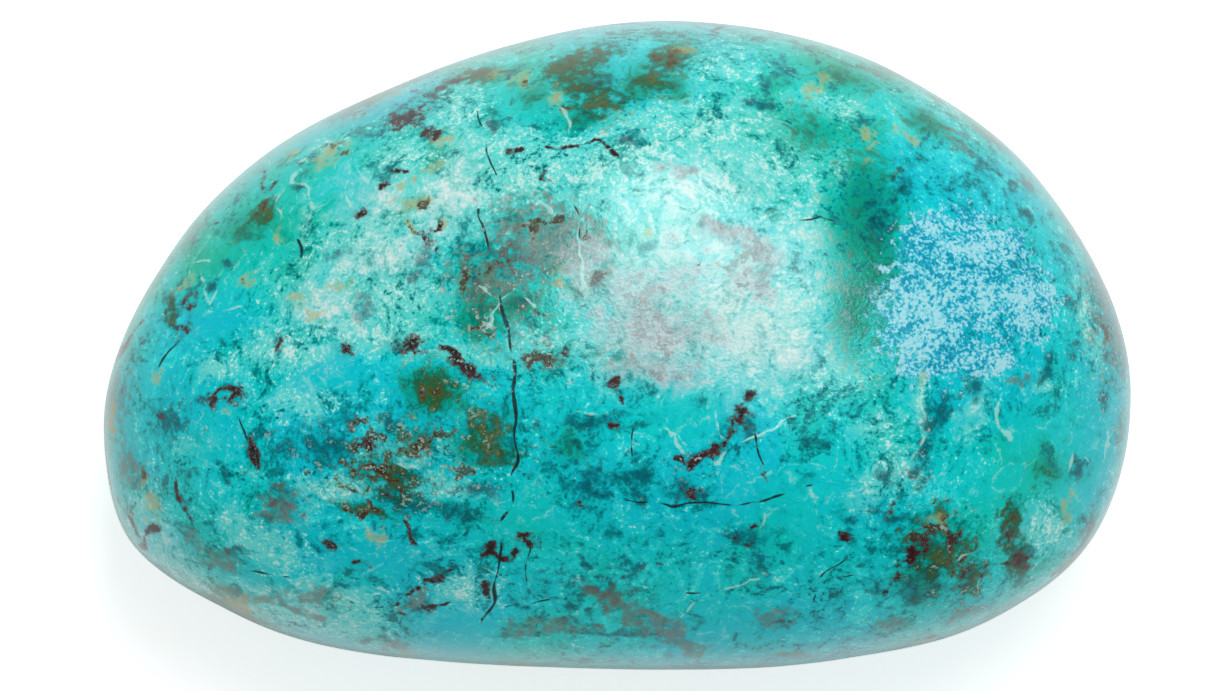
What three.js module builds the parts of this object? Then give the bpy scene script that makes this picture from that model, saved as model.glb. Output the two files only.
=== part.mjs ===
// A tumbled and polished chrysocolla pebble: one solid stone, lying on its flattest side.
//
// Millimetres, +Z up. The origin is on the resting plane, under the middle of the stone's outline.
// +X runs along the stone's length, towards its blunter end, and +Y towards its more arched long side.
import * as THREE from "three";
import { mergeVertices } from "three/addons/utils/BufferGeometryUtils.js";

// Girth: the turns of the outline seen from above, as x and y, anticlockwise from the blunter end.
const GIRTH_TURNS = [
  [22.4, -2.4],
  [19.6, 5.6],
  [12.0, 12.0],
  [3.0, 14.2],
  [-10.0, 11.3],
  [-19.3, 4.6],
  [-22.7, -4.6],
  [-21.8, -8.2],
  [-17.2, -11.6],
  [-8.0, -13.8],
  [1.5, -14.2],
  [10.0, -13.7],
  [16.5, -11.9],
  [20.4, -8.9],
];

// Heights above and below the girth, which is tilted a little along both axes.
const CROWN_HEIGHT = 11.4;
const BELLY_DEPTH = 9.2;
const GIRTH_SLOPE_X = 0.015;
const GIRTH_SLOPE_Y = -0.03;

// How full the upright sections are: 2 is an ellipse, and more is squarer at the shoulder.
const CROWN_FULLNESS = 2.2;
const BELLY_FULLNESS = 2.4;

// Old break faces, worn to soft flats: the way each one faces, in degrees, and its distance from the middle.
const WORN_FACES = [
  { name: "crown", azimuth: 20, elevation: 82, distance: 11.3 },
  { name: "left shoulder", azimuth: 150, elevation: 56, distance: 14.5 },
  { name: "left end", azimuth: 196, elevation: 38, distance: 20.0 },
  { name: "front shoulder", azimuth: 268, elevation: 50, distance: 12.5 },
  { name: "right shoulder", azimuth: 335, elevation: 47, distance: 17.4 },
  { name: "back shoulder", azimuth: 62, elevation: 52, distance: 13.6 },
  { name: "left underside", azimuth: 165, elevation: -52, distance: 15.5 },
  { name: "front underside", azimuth: 285, elevation: -55, distance: 12.2 },
  { name: "right underside", azimuth: 25, elevation: -50, distance: 15.4 },
];
const WEAR_SHARPNESS = 22;

// The rubbed flat it rests on: how much is gone from the belly's lowest point, and how softly the flat's edge rounds off.
const REST_WEAR = 0.42;
const REST_EDGE = 0.16;

// Fineness of the facets, and the stretch that keeps them of even size over the stone.
const FACET_DETAIL = 16;
const START_RADIUS = 10;
const EVEN_STRETCH = new THREE.Vector3(22, 15, 11);

/** The unit vector of a compass azimuth and an elevation, both in degrees. */
function facing(azimuth, elevation) {
  const turn = THREE.MathUtils.degToRad(azimuth);
  const lift = THREE.MathUtils.degToRad(elevation);
  return new THREE.Vector3(Math.cos(turn) * Math.cos(lift), Math.sin(turn) * Math.cos(lift), Math.sin(lift));
}

const FULL_TURN = 2 * Math.PI;

/** An angle brought into one full turn, from 0. */
function wrapped(angle) {
  return ((angle % FULL_TURN) + FULL_TURN) % FULL_TURN;
}

/** The girth's turns as azimuth and radius, in order of azimuth. */
const girthKnots = GIRTH_TURNS.map(([x, y]) => ({
  azimuth: wrapped(Math.atan2(y, x)),
  radius: Math.hypot(x, y),
})).sort((first, second) => first.azimuth - second.azimuth);

/** A knot by its number, which may run past either end of the round. */
function knotAt(index) {
  const count = girthKnots.length;
  const knot = girthKnots[((index % count) + count) % count];
  return { azimuth: knot.azimuth + FULL_TURN * Math.floor(index / count), radius: knot.radius };
}

/** How fast the radius grows at a knot, on the parabola through it and its two neighbours. */
function girthSlope(index) {
  const [before, here, after] = [knotAt(index - 1), knotAt(index), knotAt(index + 1)];
  const back = here.azimuth - before.azimuth;
  const ahead = after.azimuth - here.azimuth;
  const backRate = (here.radius - before.radius) / back;
  const aheadRate = (after.radius - here.radius) / ahead;
  return (backRate * ahead + aheadRate * back) / (back + ahead);
}

/** The girth radius at any azimuth, on a smooth closed curve through the turns of the outline. */
function girthRadius(azimuth) {
  const angle = wrapped(azimuth);
  const index = girthKnots.filter((knot) => knot.azimuth <= angle).length - 1;
  const start = knotAt(index);
  const end = knotAt(index + 1);
  const span = end.azimuth - start.azimuth;
  const share = (angle - start.azimuth) / span;
  const rest = 1 - share;
  return (
    start.radius * rest * rest * (1 + 2 * share) +
    end.radius * share * share * (3 - 2 * share) +
    girthSlope(index) * span * share * rest * rest -
    girthSlope(index + 1) * span * share * share * rest
  );
}

const wornFaces = WORN_FACES.map((face) => ({
  normal: facing(face.azimuth, face.elevation),
  distance: face.distance,
}));

/** The distance from the middle to the surface in a direction, before the resting flat is rubbed on. */
function surfaceDistance(direction) {
  const above = direction.z >= 0;
  const fullness = above ? CROWN_FULLNESS : BELLY_FULLNESS;
  const height = above ? CROWN_HEIGHT : BELLY_DEPTH;
  const level = Math.hypot(direction.x, direction.y) / girthRadius(Math.atan2(direction.y, direction.x));
  const upright = Math.abs(direction.z) / height;
  const rounded = (level ** fullness + upright ** fullness) ** (1 / fullness);
  const worn = wornFaces.map((face) => Math.max(0, direction.dot(face.normal)) / face.distance);
  const total = [rounded, ...worn].reduce((sum, term) => sum + term ** WEAR_SHARPNESS, 0);
  return total ** (-1 / WEAR_SHARPNESS);
}

/** Height after the resting flat is rubbed on: 0 on the flat, and eased into the belly round its edge. */
function rubbed(height) {
  if (height <= -REST_EDGE) return 0;
  return height >= REST_EDGE ? height : (height + REST_EDGE) ** 2 / (4 * REST_EDGE);
}

/** The pebble's closed surface, with its shared corners merged. */
function pebbleGeometry() {
  const start = new THREE.IcosahedronGeometry(START_RADIUS, FACET_DETAIL);
  start.deleteAttribute("normal");
  start.deleteAttribute("uv");
  const geometry = mergeVertices(start);
  const points = geometry.attributes.position;
  const point = new THREE.Vector3();
  for (let i = 0; i < points.count; i++) {
    point.fromBufferAttribute(points, i).multiply(EVEN_STRETCH).normalize();
    point.multiplyScalar(surfaceDistance(point));
    point.z += GIRTH_SLOPE_X * point.x + GIRTH_SLOPE_Y * point.y;
    points.setXYZ(i, point.x, point.y, point.z);
  }
  geometry.computeBoundingBox();
  const { min, max } = geometry.boundingBox;
  geometry.translate(-(min.x + max.x) / 2, -(min.y + max.y) / 2, -(min.z + REST_WEAR));
  for (let i = 0; i < points.count; i++) points.setZ(i, rubbed(points.getZ(i)));
  geometry.computeVertexNormals();
  return geometry;
}

const polishedChrysocolla = new THREE.MeshStandardMaterial({ color: 0x18b9b4, roughness: 0.22, metalness: 0 });

const pebble = new THREE.Mesh(pebbleGeometry(), polishedChrysocolla);
pebble.name = "chrysocolla_pebble";

const stone = new THREE.Group();
stone.add(pebble);

export default stone;
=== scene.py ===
"""A tumbled and polished chrysocolla pebble, lying on its flattest side on a pale studio table.

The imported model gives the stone's box. This script shapes the finished surface over the same form, with its
cracks cut in, maps its minerals onto it, and dresses it in one procedural finish. Sizes are in millimetres
until a mesh is placed, which is in metres. +X runs towards the stone's blunter end and +Y towards its more
arched long side.
"""

import logging
import math
from collections.abc import Iterator
from dataclasses import dataclass, field
from enum import Enum

import bmesh
import bpy
import numpy as np
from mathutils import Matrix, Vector


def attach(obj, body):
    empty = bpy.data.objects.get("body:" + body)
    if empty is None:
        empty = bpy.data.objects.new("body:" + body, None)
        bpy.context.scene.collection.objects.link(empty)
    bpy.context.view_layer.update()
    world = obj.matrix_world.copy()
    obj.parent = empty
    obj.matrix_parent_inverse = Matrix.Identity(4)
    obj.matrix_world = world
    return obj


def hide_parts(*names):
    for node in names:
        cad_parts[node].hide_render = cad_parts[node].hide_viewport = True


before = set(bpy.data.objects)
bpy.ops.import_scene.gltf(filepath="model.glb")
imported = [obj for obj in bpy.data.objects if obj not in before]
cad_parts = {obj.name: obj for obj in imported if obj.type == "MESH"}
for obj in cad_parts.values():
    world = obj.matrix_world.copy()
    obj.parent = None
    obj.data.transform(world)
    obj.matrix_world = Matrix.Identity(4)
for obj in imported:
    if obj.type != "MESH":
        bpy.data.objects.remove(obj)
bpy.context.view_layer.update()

log = logging.getLogger("pebble")

STONE = "chrysocolla_pebble"
MM = 0.001

Pair = tuple[float, float]
Point = tuple[float, float, float]
Row = tuple[float, ...]


class Mineral(Enum):
    """The kinds of mark on the stone. Each value names the surface attribute that holds its field."""

    CRACK = "crack"
    OXIDE = "oxide"
    RUST = "rust"
    OCHRE = "ochre"
    OLIVE = "olive"
    MALACHITE = "malachite"
    DEEP = "deep"
    SMOKE = "smoke"
    BLUE = "blue"
    GRANULE = "granule"
    BLUSH = "blush"
    CHALK = "chalk"
    HAZE = "haze"
    VEIN = "vein"
    CELL = "cell"
    FROST = "frost"


@dataclass(frozen=True)
class Patch:
    """An oval mark seen from above, in millimetres, turned by degrees and thinned where it is faint."""

    x: float
    y: float
    along: float
    across: float
    turn: float = 0.0
    thin: float = 0.0


@dataclass(frozen=True)
class Marks:
    """One mineral's marks on the crown, in short rows, seen from above.

    A stroke's row is its half-width, and then x and y of each place that it runs through. A patch's row
    holds the values of a Patch in their own order.
    """

    strokes: tuple[Row, ...] = ()
    patches: tuple[Row, ...] = ()


@dataclass(frozen=True)
class Strewing:
    """How a mineral is strewn over the flanks and belly, in millimetres, up to an elevation in degrees."""

    strokes: int = 0
    patches: int = 0
    half_width: Pair = (0.1, 0.2)
    size: Pair = (0.4, 1.2)
    steps: tuple[int, int] = (2, 7)
    stride: float = 0.035
    wander: float = 0.45
    ceiling: float = 12.0


STREWN: dict[Mineral, Strewing] = {
    Mineral.CRACK: Strewing(12, 0, (0.03, 0.06), steps=(8, 22), stride=0.03, wander=0.25, ceiling=-4.0),
    Mineral.OXIDE: Strewing(44, 20, (0.08, 0.18), (0.15, 0.4), (2, 5)),
    Mineral.RUST: Strewing(24, 24, (0.1, 0.2), (0.2, 0.5), (2, 5)),
    Mineral.OCHRE: Strewing(patches=12, size=(0.4, 1.0)),
    Mineral.OLIVE: Strewing(patches=14, size=(0.5, 1.3)),
    Mineral.MALACHITE: Strewing(patches=14, size=(0.4, 1.2)),
    Mineral.DEEP: Strewing(patches=46, size=(0.25, 1.0), ceiling=0.0),
    Mineral.SMOKE: Strewing(patches=24, size=(0.5, 1.8), ceiling=15.0),
    Mineral.BLUE: Strewing(patches=8, size=(2.0, 5.0)),
    Mineral.GRANULE: Strewing(patches=3, size=(1.0, 2.4), ceiling=-15.0),
    Mineral.BLUSH: Strewing(patches=4, size=(0.8, 1.8), ceiling=-10.0),
    Mineral.CHALK: Strewing(patches=22, size=(1.2, 3.4), ceiling=-10.0),
    Mineral.CELL: Strewing(patches=10, size=(1.5, 3.5)),
    Mineral.FROST: Strewing(patches=8, size=(1.5, 4.0)),
    Mineral.VEIN: Strewing(24, 0, (0.04, 0.08), steps=(4, 10), stride=0.03, wander=0.35, ceiling=0.0),
}

# A thin mark's facets are this many of its half-widths long, and never shorter than the finest edge.
FINENESS = {Mineral.CRACK: 1.0, Mineral.VEIN: 1.2, Mineral.OXIDE: 1.8, Mineral.RUST: 2.2}
FINEST_EDGE = 0.05
# A line narrower than this half-width is drawn this wide and made fainter.
THINNEST = 0.055
SHORTEST_RUN = 1e-12

CROWN_MARKS: dict[Mineral, Marks] = {
    # Open hairline cracks, near black.
    Mineral.CRACK: Marks(
        strokes=(
            (0.05, -6.1, 10.3, -5.9, 9.6, -5.7, 9.0, -5.6, 8.3, -5.3, 7.3),
            (0.045, -6.0, 6.3, -6.0, 5.6, -5.8, 4.9, -5.4, 3.8, -5.2, 3.0, -5.1, 2.2),
            (0.075, -5.2, 2.6, -5.0, 1.6, -4.8, 0.8, -4.6, 0.0, -4.5, -1.0, -4.4, -2.2, -4.4, -3.4),
            (0.065, -4.4, -3.4, -4.4, -5.0, -4.5, -6.0, -4.6, -6.8, -5.0, -7.8, -5.15, -8.6, -5.1, -9.4,
             -5.2, -10.1),
            (0.06, -5.2, -10.1, -5.3, -10.6, -5.5, -11.2, -5.9, -11.9, -5.85, -12.8),
            (0.045, -3.85, -8.8, -3.9, -9.8, -3.95, -10.7),
            (0.04, 0.9, -2.0, 0.85, -3.0, 0.7, -4.0, 0.65, -5.1),
            (0.045, 0.2, -6.7, 1.0, -6.8, 2.3, -7.0, 3.8, -6.8, 5.4, -6.9, 6.4, -6.7, 7.6, -6.4, 9.0, -5.9),
            (0.045, 5.7, -3.6, 6.1, -4.5, 6.4, -5.4), (0.035, -2.0, 7.2, -1.9, 6.2, -1.7, 5.4, -1.6, 4.6),
            (0.045, -16.4, -3.1, -16.1, -3.7, -16.0, -4.2), (0.05, -19.2, 0.1, -19.6, -0.5, -20.0, -1.0),
            (0.035, 7.8, 5.4, 8.4, 5.5, 8.9, 5.7, 9.8, 5.3), (0.05, -13.9, 4.6, -13.8, 4.1, -13.8, 3.6),
            (0.045, 3.0, -10.8, 3.7, -10.8), (0.04, -17.0, -9.6, -16.2, -9.8, -15.0, -9.9, -13.9, -10.1),
            (0.035, -5.0, -11.4, -3.6, -11.2, -2.5, -10.8),
            (0.035, 8.6, -11.6, 8.6, -10.4, 9.2, -9.6, 10.4, -8.8),
            (0.035, 9.0, -10.8, 9.4, -10.2, 10.6, -9.9),
        ),
    ),
    # Dark red-brown copper and iron oxide.
    Mineral.OXIDE: Marks(
        strokes=(
            (0.12, -9.2, 11.0, -8.7, 11.0, -8.2, 11.1, -7.9, 10.8), (0.14, -8.1, 9.3, -7.6, 9.2),
            (0.14, -10.1, 7.8, -9.6, 7.7, -9.0, 7.6), (0.08, -7.7, 5.7, -7.7, 5.2, -8.0, 4.8),
            (0.11, -4.6, 7.9, -4.4, 8.3, -3.8, 8.5),
            (0.05, -3.8, 8.5, -3.3, 8.3, -2.8, 8.6, -2.3, 8.5, -1.8, 8.6, -1.2, 8.6),
            (0.06, -1.2, 8.6, -0.6, 8.8, -0.3, 8.3, 0.0, 8.1), (0.1, -3.3, 7.6, -3.1, 7.3, -2.7, 7.2),
            (0.12, -17.9, -2.1, -17.2, -2.0, -16.3, -2.0), (0.16, -15.9, -4.1, -15.8, -4.6, -15.6, -5.2),
            (0.12, -8.0, 0.0, -7.2, -0.2, -6.9, -0.8), (0.18, -6.9, -0.8, -6.3, -1.2, -5.9, -1.35),
            (0.16, -0.3, -1.7, 0.2, -1.5), (0.08, 0.0, -1.9, 0.15, -2.6),
            (0.16, -0.2, -2.9, -0.3, -3.4, 0.05, -3.8), (0.2, 5.9, -2.2, 5.4, -2.7, 5.1, -3.1),
            (0.13, 2.4, -4.9, 2.8, -4.8, 3.1, -5.1, 3.6, -4.8, 4.2, -4.6, 4.8, -4.3, 5.2, -4.5),
            (0.16, 2.5, -5.9, 2.9, -6.2, 3.4, -6.3, 4.0, -6.1), (0.16, 0.1, -9.4, 0.4, -9.7, 0.8, -9.9),
            (0.13, 1.7, -9.7, 2.0, -9.4), (0.15, -6.1, -9.2, -5.6, -8.9, -5.1, -9.2, -4.7, -9.3, -4.3, -8.9),
            (0.14, -9.8, -11.4, -8.9, -10.7, -8.2, -10.3, -7.3, -9.7, -6.5, -9.5),
            (0.12, -9.7, -11.7, -9.0, -11.6, -8.0, -11.4, -7.3, -11.2), (0.12, -5.6, -10.2, -5.7, -10.9),
            (0.08, -9.2, -7.6, -9.0, -8.2, -8.6, -8.7),
            (0.11, -19.3, -5.7, -19.1, -6.5, -18.9, -7.1, -18.5, -7.8),
            (0.1, 12.5, -9.3, 12.0, -10.2, 11.6, -11.1),
        ),
        patches=(
            (-9.2, 9.9, 0.62, 0.4, 20), (-8.3, 9.3, 0.4, 0.25), (-10.1, 7.0, 0.16, 0.22, -30),
            (-11.2, 5.8, 0.26, 0.22), (-8.4, 4.6, 0.22, 0.26), (-7.3, 11.4, 0.4, 0.2, 30),
            (-18.7, 1.9, 0.26, 0.42, -15), (-18.8, 1.0, 0.16, 0.34, -10), (-19.2, 0.3, 0.2, 0.2),
            (-20.7, 0.4, 0.12, 0.12), (-14.7, 0.1, 0.12, 0.25), (-11.7, -0.2, 0.25, 0.25),
            (-9.1, 0.0, 0.6, 0.25), (-7.9, 3.9, 0.16, 0.16), (-17.5, -2.5, 0.22, 0.26),
            (-16.6, -2.3, 0.38, 0.26, 20), (-15.75, -4.85, 0.25, 0.32), (-19.9, -3.3, 0.26, 0.16),
            (-19.5, -3.0, 0.12, 0.14), (-5.3, -1.4, 0.22, 0.13), (-2.3, -0.2, 0.3, 0.16, 20),
            (5.05, -3.4, 0.26, 0.34), (3.0, -6.6, 0.4, 0.2, 0, 0.2), (5.9, -8.0, 0.22, 0.16),
            (5.5, -8.4, 0.34, 0.18, 0, 0.2), (-5.6, -8.8, 0.24, 0.24), (-3.85, -8.5, 0.34, 0.24),
            (-3.1, -8.1, 0.22, 0.16, 30), (-12.4, -8.7, 0.3, 0.2), (-11.2, -9.5, 0.2, 0.12),
            (-10.8, -9.7, 0.12, 0.12), (-1.75, -7.0, 0.24, 0.14, 20), (10.1, -8.3, 0.24, 0.26),
            (11.2, -7.8, 0.22, 0.12), (12.7, -9.2, 0.3, 0.24, 40), (13.3, -8.7, 0.4, 0.26, 40),
            (14.6, -8.5, 0.34, 0.26), (15.2, -10.1, 0.4, 0.3, 60, 0.2), (17.6, -9.3, 0.26, 0.4, 20),
            (17.0, -8.2, 0.26, 0.34, 0, 0.2), (7.1, -12.0, 0.3, 0.18), (-10.6, -4.4, 0.38, 0.3, 30),
            (-9.8, -6.4, 0.34, 0.24, 0, 0.2), (-20.0, -1.75, 0.4, 0.1), (-1.6, 2.2, 0.1, 0.1),
        ),
    ),
    # Iron stains, brown inside and gold at the edge.
    Mineral.RUST: Marks(
        strokes=(
            (0.16, -8.5, 6.2, -8.1, 6.2), (0.08, -9.1, 5.6, -9.0, 5.0, -8.7, 4.7),
            (0.12, -12.3, 2.5, -11.8, 2.7, -11.1, 2.7), (0.3, -6.8, 2.6, -6.4, 3.0, -5.6, 3.2),
            (0.12, -6.6, 2.2, -6.6, 2.8), (0.14, -1.1, 3.2, -0.9, 2.8, -1.2, 2.0, -2.1, 1.3),
            (0.1, -1.3, 5.2, -1.4, 4.4, -1.1, 3.9), (0.1, -4.0, 5.4, -3.0, 5.4, -1.8, 5.5),
            (0.16, -11.9, -7.2, -11.2, -7.4, -10.4, -7.3), (0.1, -11.7, -6.2, -10.9, -6.6, -10.4, -7.2),
            (0.14, -6.8, -5.3, -6.3, -5.7),
            (0.08, 13.6, -7.2, 14.0, -6.8, 14.5, -6.9, 14.6, -7.4, 14.2, -7.7),
            (0.09, 13.0, -8.1, 13.7, -7.9, 14.5, -8.0, 15.1, -8.5),
            (0.07, 15.9, -9.7, 16.0, -10.5, 15.5, -11.0),
        ),
        patches=(
            (-9.2, 3.7, 0.12, 0.18), (-12.0, 8.3, 0.3, 0.2), (-12.3, 8.7, 0.2, 0.16),
            (-15.6, 5.9, 0.34, 0.2, 50), (-16.2, 2.7, 0.2, 0.1), (-6.0, 11.8, 0.6, 0.24, 0, 0.4),
            (2.4, 12.5, 0.6, 0.3, 30, 0.3), (-2.3, 10.4, 0.16, 0.16), (-4.0, 11.4, 0.16, 0.26),
            (-6.2, 0.9, 0.24, 0.2), (-5.5, 0.3, 0.3, 0.16), (-3.3, 1.4, 0.3, 0.14, -40),
            (-3.8, 5.0, 0.3, 0.5, 0, 0.2), (-4.8, 3.6, 0.6, 0.2, 0, 0.2), (-3.3, -0.6, 0.7, 0.42),
            (-10.8, -4.3, 0.6, 0.45, 30), (-9.6, -4.3, 0.6, 0.2, -10), (-10.0, -5.0, 0.2, 0.3),
            (-11.7, -5.2, 0.4, 0.14), (-12.2, -5.6, 0.3, 0.12, -30), (-11.0, -3.4, 0.8, 0.5, 0, 0.6),
            (-10.4, -5.6, 1.6, 0.9, -10, 0.6), (-8.4, -4.4, 1.2, 0.5, 0, 0.5),
            (-6.6, -5.4, 0.8, 0.5, 0, 0.6), (-13.4, -5.3, 0.4, 0.1, -15, 0.2), (-8.9, -4.0, 0.5, 0.2),
            (-7.6, -4.1, 0.3, 0.16), (-7.4, -3.6, 0.3, 0.12), (-8.1, -1.9, 0.5, 0.3), (-7.3, -2.1, 0.3, 0.1),
            (-6.1, -2.0, 0.14, 0.1), (-20.7, -2.3, 0.26, 0.12), (-20.7, -5.7, 0.3, 0.16),
            (12.0, -6.9, 0.16, 0.45, -25), (14.6, -8.6, 0.4, 0.4), (13.3, -8.4, 0.8, 0.5, 30, 0.4),
            (15.0, -9.4, 0.8, 0.7, 0, 0.5), (14.6, -10.2, 0.3, 0.4), (17.0, -7.7, 0.3, 0.3),
            (17.5, -9.6, 0.3, 0.4), (18.8, -5.7, 0.16, 0.16), (-3.0, -4.3, 0.16, 0.1),
            (-1.8, -4.1, 0.1, 0.1), (6.4, -5.5, 0.1, 0.3), (3.7, 3.7, 0.16, 0.3, -20, 0.3),
        ),
    ),
    # Thin veils of ochre and cream.
    Mineral.OCHRE: Marks(
        strokes=(
            (0.16, -9.6, 6.9, -9.0, 7.2, -8.0, 7.7, -7.2, 8.1),
            (0.2, -9.9, 6.4, -9.3, 6.1, -8.6, 6.3, -7.9, 6.3), (0.2, -9.3, 6.1, -9.2, 5.4, -8.9, 4.8),
            (0.14, -8.0, 6.0, -7.5, 5.4, -7.9, 4.8), (0.2, -12.7, 2.4, -12.0, 2.7, -11.3, 2.8),
        ),
        patches=(
            (-12.5, 8.4, 0.7, 0.4, 20), (-14.1, 8.3, 0.4, 0.2, 30), (-14.7, 4.8, 0.22, 0.3),
            (-16.1, 2.8, 0.4, 0.24), (-18.8, 2.7, 0.6, 0.26, 20), (-20.1, -1.4, 0.42, 0.24),
            (-13.8, 2.0, 0.5, 0.3), (-13.1, 1.2, 0.4, 0.3), (-5.2, 11.9, 0.6, 0.3), (-4.1, 11.6, 0.4, 0.5),
            (-2.6, 10.8, 0.26, 0.5, 20), (3.0, 12.9, 0.4, 0.3), (8.7, 11.2, 0.4, 1.0, -35, 0.2),
            (10.9, 9.0, 0.4, 0.8, 0, 0.3), (12.6, 9.2, 0.7, 0.2, -45), (-9.9, 10.9, 0.6, 0.2, 20),
            (-7.6, 9.0, 0.5, 0.3), (13.2, -1.4, 0.2, 0.5), (13.9, -7.6, 0.45, 0.3, 0, 0.3),
            (19.7, -6.9, 0.24, 0.7, -20), (-22.1, -3.2, 0.3, 0.7), (-10.6, -8.4, 0.4, 0.24, -20),
            (1.3, 5.0, 0.18, 0.2), (-17.0, -2.9, 0.16, 0.2), (-2.6, 2.8, 0.4, 0.5, 0, 0.2),
        ),
    ),
    # Olive and brown-green windows.
    Mineral.OLIVE: Marks(
        patches=(
            (-2.0, 12.2, 1.0, 0.5, 10), (-1.0, 12.7, 0.9, 0.36, 10), (-0.8, 10.5, 0.9, 0.5, 10),
            (-1.6, 11.3, 0.8, 0.36, -10, 0.2), (2.4, 12.5, 0.9, 0.5, 30), (1.6, 11.5, 0.5, 0.6),
            (-5.9, 11.8, 0.9, 0.34), (-8.0, -2.0, 0.85, 0.75), (-5.6, -3.6, 0.8, 0.7),
            (-5.4, -4.6, 0.7, 0.5), (-10.9, -7.2, 1.0, 0.24, -10), (-10.2, -5.6, 1.8, 1.0, -10, 0.5),
            (-9.0, -4.2, 1.6, 0.6, 0, 0.5), (-9.7, -6.3, 0.5, 0.36), (14.1, -9.0, 1.5, 1.1, -20, 0.1),
            (14.2, -7.2, 0.36, 0.36), (13.2, -8.7, 0.6, 0.4, 40), (15.4, -10.1, 0.6, 0.75),
            (17.1, -8.0, 0.45, 0.9, 10), (17.5, -9.4, 0.45, 0.6), (-15.4, 5.8, 0.45, 0.5),
            (-19.5, 1.4, 0.24, 0.7, 0, 0.2),
        ),
    ),
    # Clear emerald green.
    Mineral.MALACHITE: Marks(
        patches=(
            (-5.9, 1.3, 0.9, 1.1), (-4.3, 1.8, 0.85, 0.6), (-4.0, 2.1, 0.5, 0.26), (-1.5, 11.4, 1.3, 0.6),
            (-3.6, 10.9, 0.9, 0.8, 0, 0.2), (-1.3, 9.7, 1.1, 0.5, 0, 0.3), (0.9, 11.4, 0.6, 0.8),
            (2.4, 11.2, 0.8, 0.6, 0, 0.3), (13.6, 9.6, 0.9, 0.5, -30), (9.8, 11.6, 1.8, 0.8, -15, 0.5),
            (8.6, 9.2, 2.2, 1.4, 0, 0.7), (-16.0, 5.1, 1.0, 0.8, 0, 0.3), (13.0, -10.4, 1.0, 0.9, 0, 0.2),
            (18.8, -5.4, 1.0, 1.0, 0, 0.5), (-2.0, -4.4, 0.9, 0.8, 0, 0.4), (-8.0, -2.1, 1.3, 1.1, 0, 0.2),
            (-6.6, -4.6, 1.2, 1.0, 0, 0.5), (11.0, 4.6, 1.5, 4.6, 5, 0.2), (10.3, 1.6, 1.0, 2.0, 0, 0.1),
        ),
    ),
    # Deep teal hollows in the colour.
    Mineral.DEEP: Marks(
        patches=(
            (-1.2, 11.3, 1.0, 0.4, 10), (0.6, 9.0, 0.6, 0.36, 20, 0.2), (0.5, 7.6, 0.26, 0.4, 0, 0.2),
            (6.2, 10.5, 0.6, 0.3, -20), (6.5, 11.3, 0.24, 0.45), (-5.2, 9.6, 0.5, 0.3, 0, 0.2),
            (-4.0, 2.1, 0.45, 0.24, 10), (-11.1, 1.6, 0.4, 0.5), (-8.4, 3.6, 0.45, 0.75),
            (-8.8, 2.8, 0.3, 0.2), (-12.3, 4.1, 0.6, 0.2, 20), (-17.0, 3.6, 0.5, 0.3, 0, 0.2),
            (-17.7, 2.5, 0.4, 0.4, 0, 0.2), (-19.4, 1.6, 0.5, 1.0, 0, 0.3), (-13.8, 6.9, 0.3, 0.2),
            (-4.6, 3.8, 1.4, 1.0, 0, 0.4), (-12.6, -4.4, 1.4, 0.7, -10), (-9.9, -3.3, 0.5, 0.6),
            (-11.6, -3.3, 0.36, 0.3), (-12.6, -3.4, 0.3, 0.24), (-9.4, -5.7, 0.9, 0.55),
            (-9.0, -6.8, 1.4, 0.5, -20), (-7.0, -7.3, 1.2, 0.4, -10), (-6.0, -6.2, 1.4, 0.5, 0, 0.4),
            (-15.2, -3.8, 0.5, 0.16), (-14.4, -4.6, 0.5, 0.24, 30), (-18.5, -5.6, 0.36, 0.26),
            (-16.9, -5.9, 0.26, 0.12, -30), (-19.4, -3.4, 1.0, 0.6, 0, 0.2), (-18.2, -2.4, 0.5, 0.24),
            (-14.6, -6.5, 0.6, 0.5, 0, 0.2), (-15.2, -7.8, 0.16, 0.3), (-11.7, -10.5, 0.34, 0.16, -20),
            (-16.6, -9.0, 0.8, 0.2), (-1.2, -3.3, 1.2, 0.3, 5), (-3.1, -3.8, 0.26, 0.14),
            (-1.1, -5.5, 0.5, 0.55), (-1.0, -6.3, 0.65, 0.4), (0.4, -5.6, 0.5, 0.26), (1.0, -5.7, 0.6, 0.8),
            (1.0, -6.5, 0.34, 0.5), (-2.0, -6.1, 0.26, 0.2), (5.6, -3.4, 0.36, 0.8, 10),
            (3.0, -6.3, 0.9, 0.5), (3.6, -4.8, 1.2, 0.3, 20, 0.2), (5.5, -8.2, 0.8, 0.45),
            (6.2, -9.4, 0.36, 0.9, 15, 0.1), (-1.2, -9.6, 0.2, 0.5, 30), (-0.4, -8.2, 0.3, 0.4, 0, 0.3),
            (0.6, -9.7, 0.8, 0.5, 0, 0.3), (-2.0, -11.4, 0.6, 0.16, -10), (-0.4, -12.5, 1.4, 0.16),
            (-1.6, -12.0, 0.9, 0.14, -10), (14.1, -2.8, 0.95, 0.5, 45), (13.4, -3.6, 0.4, 0.36),
            (15.5, -1.6, 0.5, 0.6, 0, 0.1), (13.3, -4.6, 0.4, 0.9, 0, 0.1), (13.2, -6.2, 0.16, 0.36, -20),
            (11.7, -5.7, 0.36, 0.34), (12.9, -5.6, 0.4, 0.26), (10.1, -7.4, 0.36, 0.26),
            (10.9, -7.1, 0.26, 0.22), (11.5, -6.9, 0.14, 0.45, -15), (12.2, -7.5, 0.55, 0.2),
            (10.1, -8.3, 0.34, 0.36), (10.8, -9.4, 0.5, 0.14, 20), (11.4, -10.6, 0.5, 0.4, 0, 0.2),
            (13.0, -10.6, 1.0, 0.9, 0, 0.2), (17.1, -7.6, 0.6, 0.7, 0, 0.2), (18.7, -1.0, 0.3, 0.75, -30),
            (19.9, -0.4, 0.3, 0.5, -30, 0.2), (20.1, -5.3, 0.36, 0.7), (21.3, -2.3, 0.24, 0.5),
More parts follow.
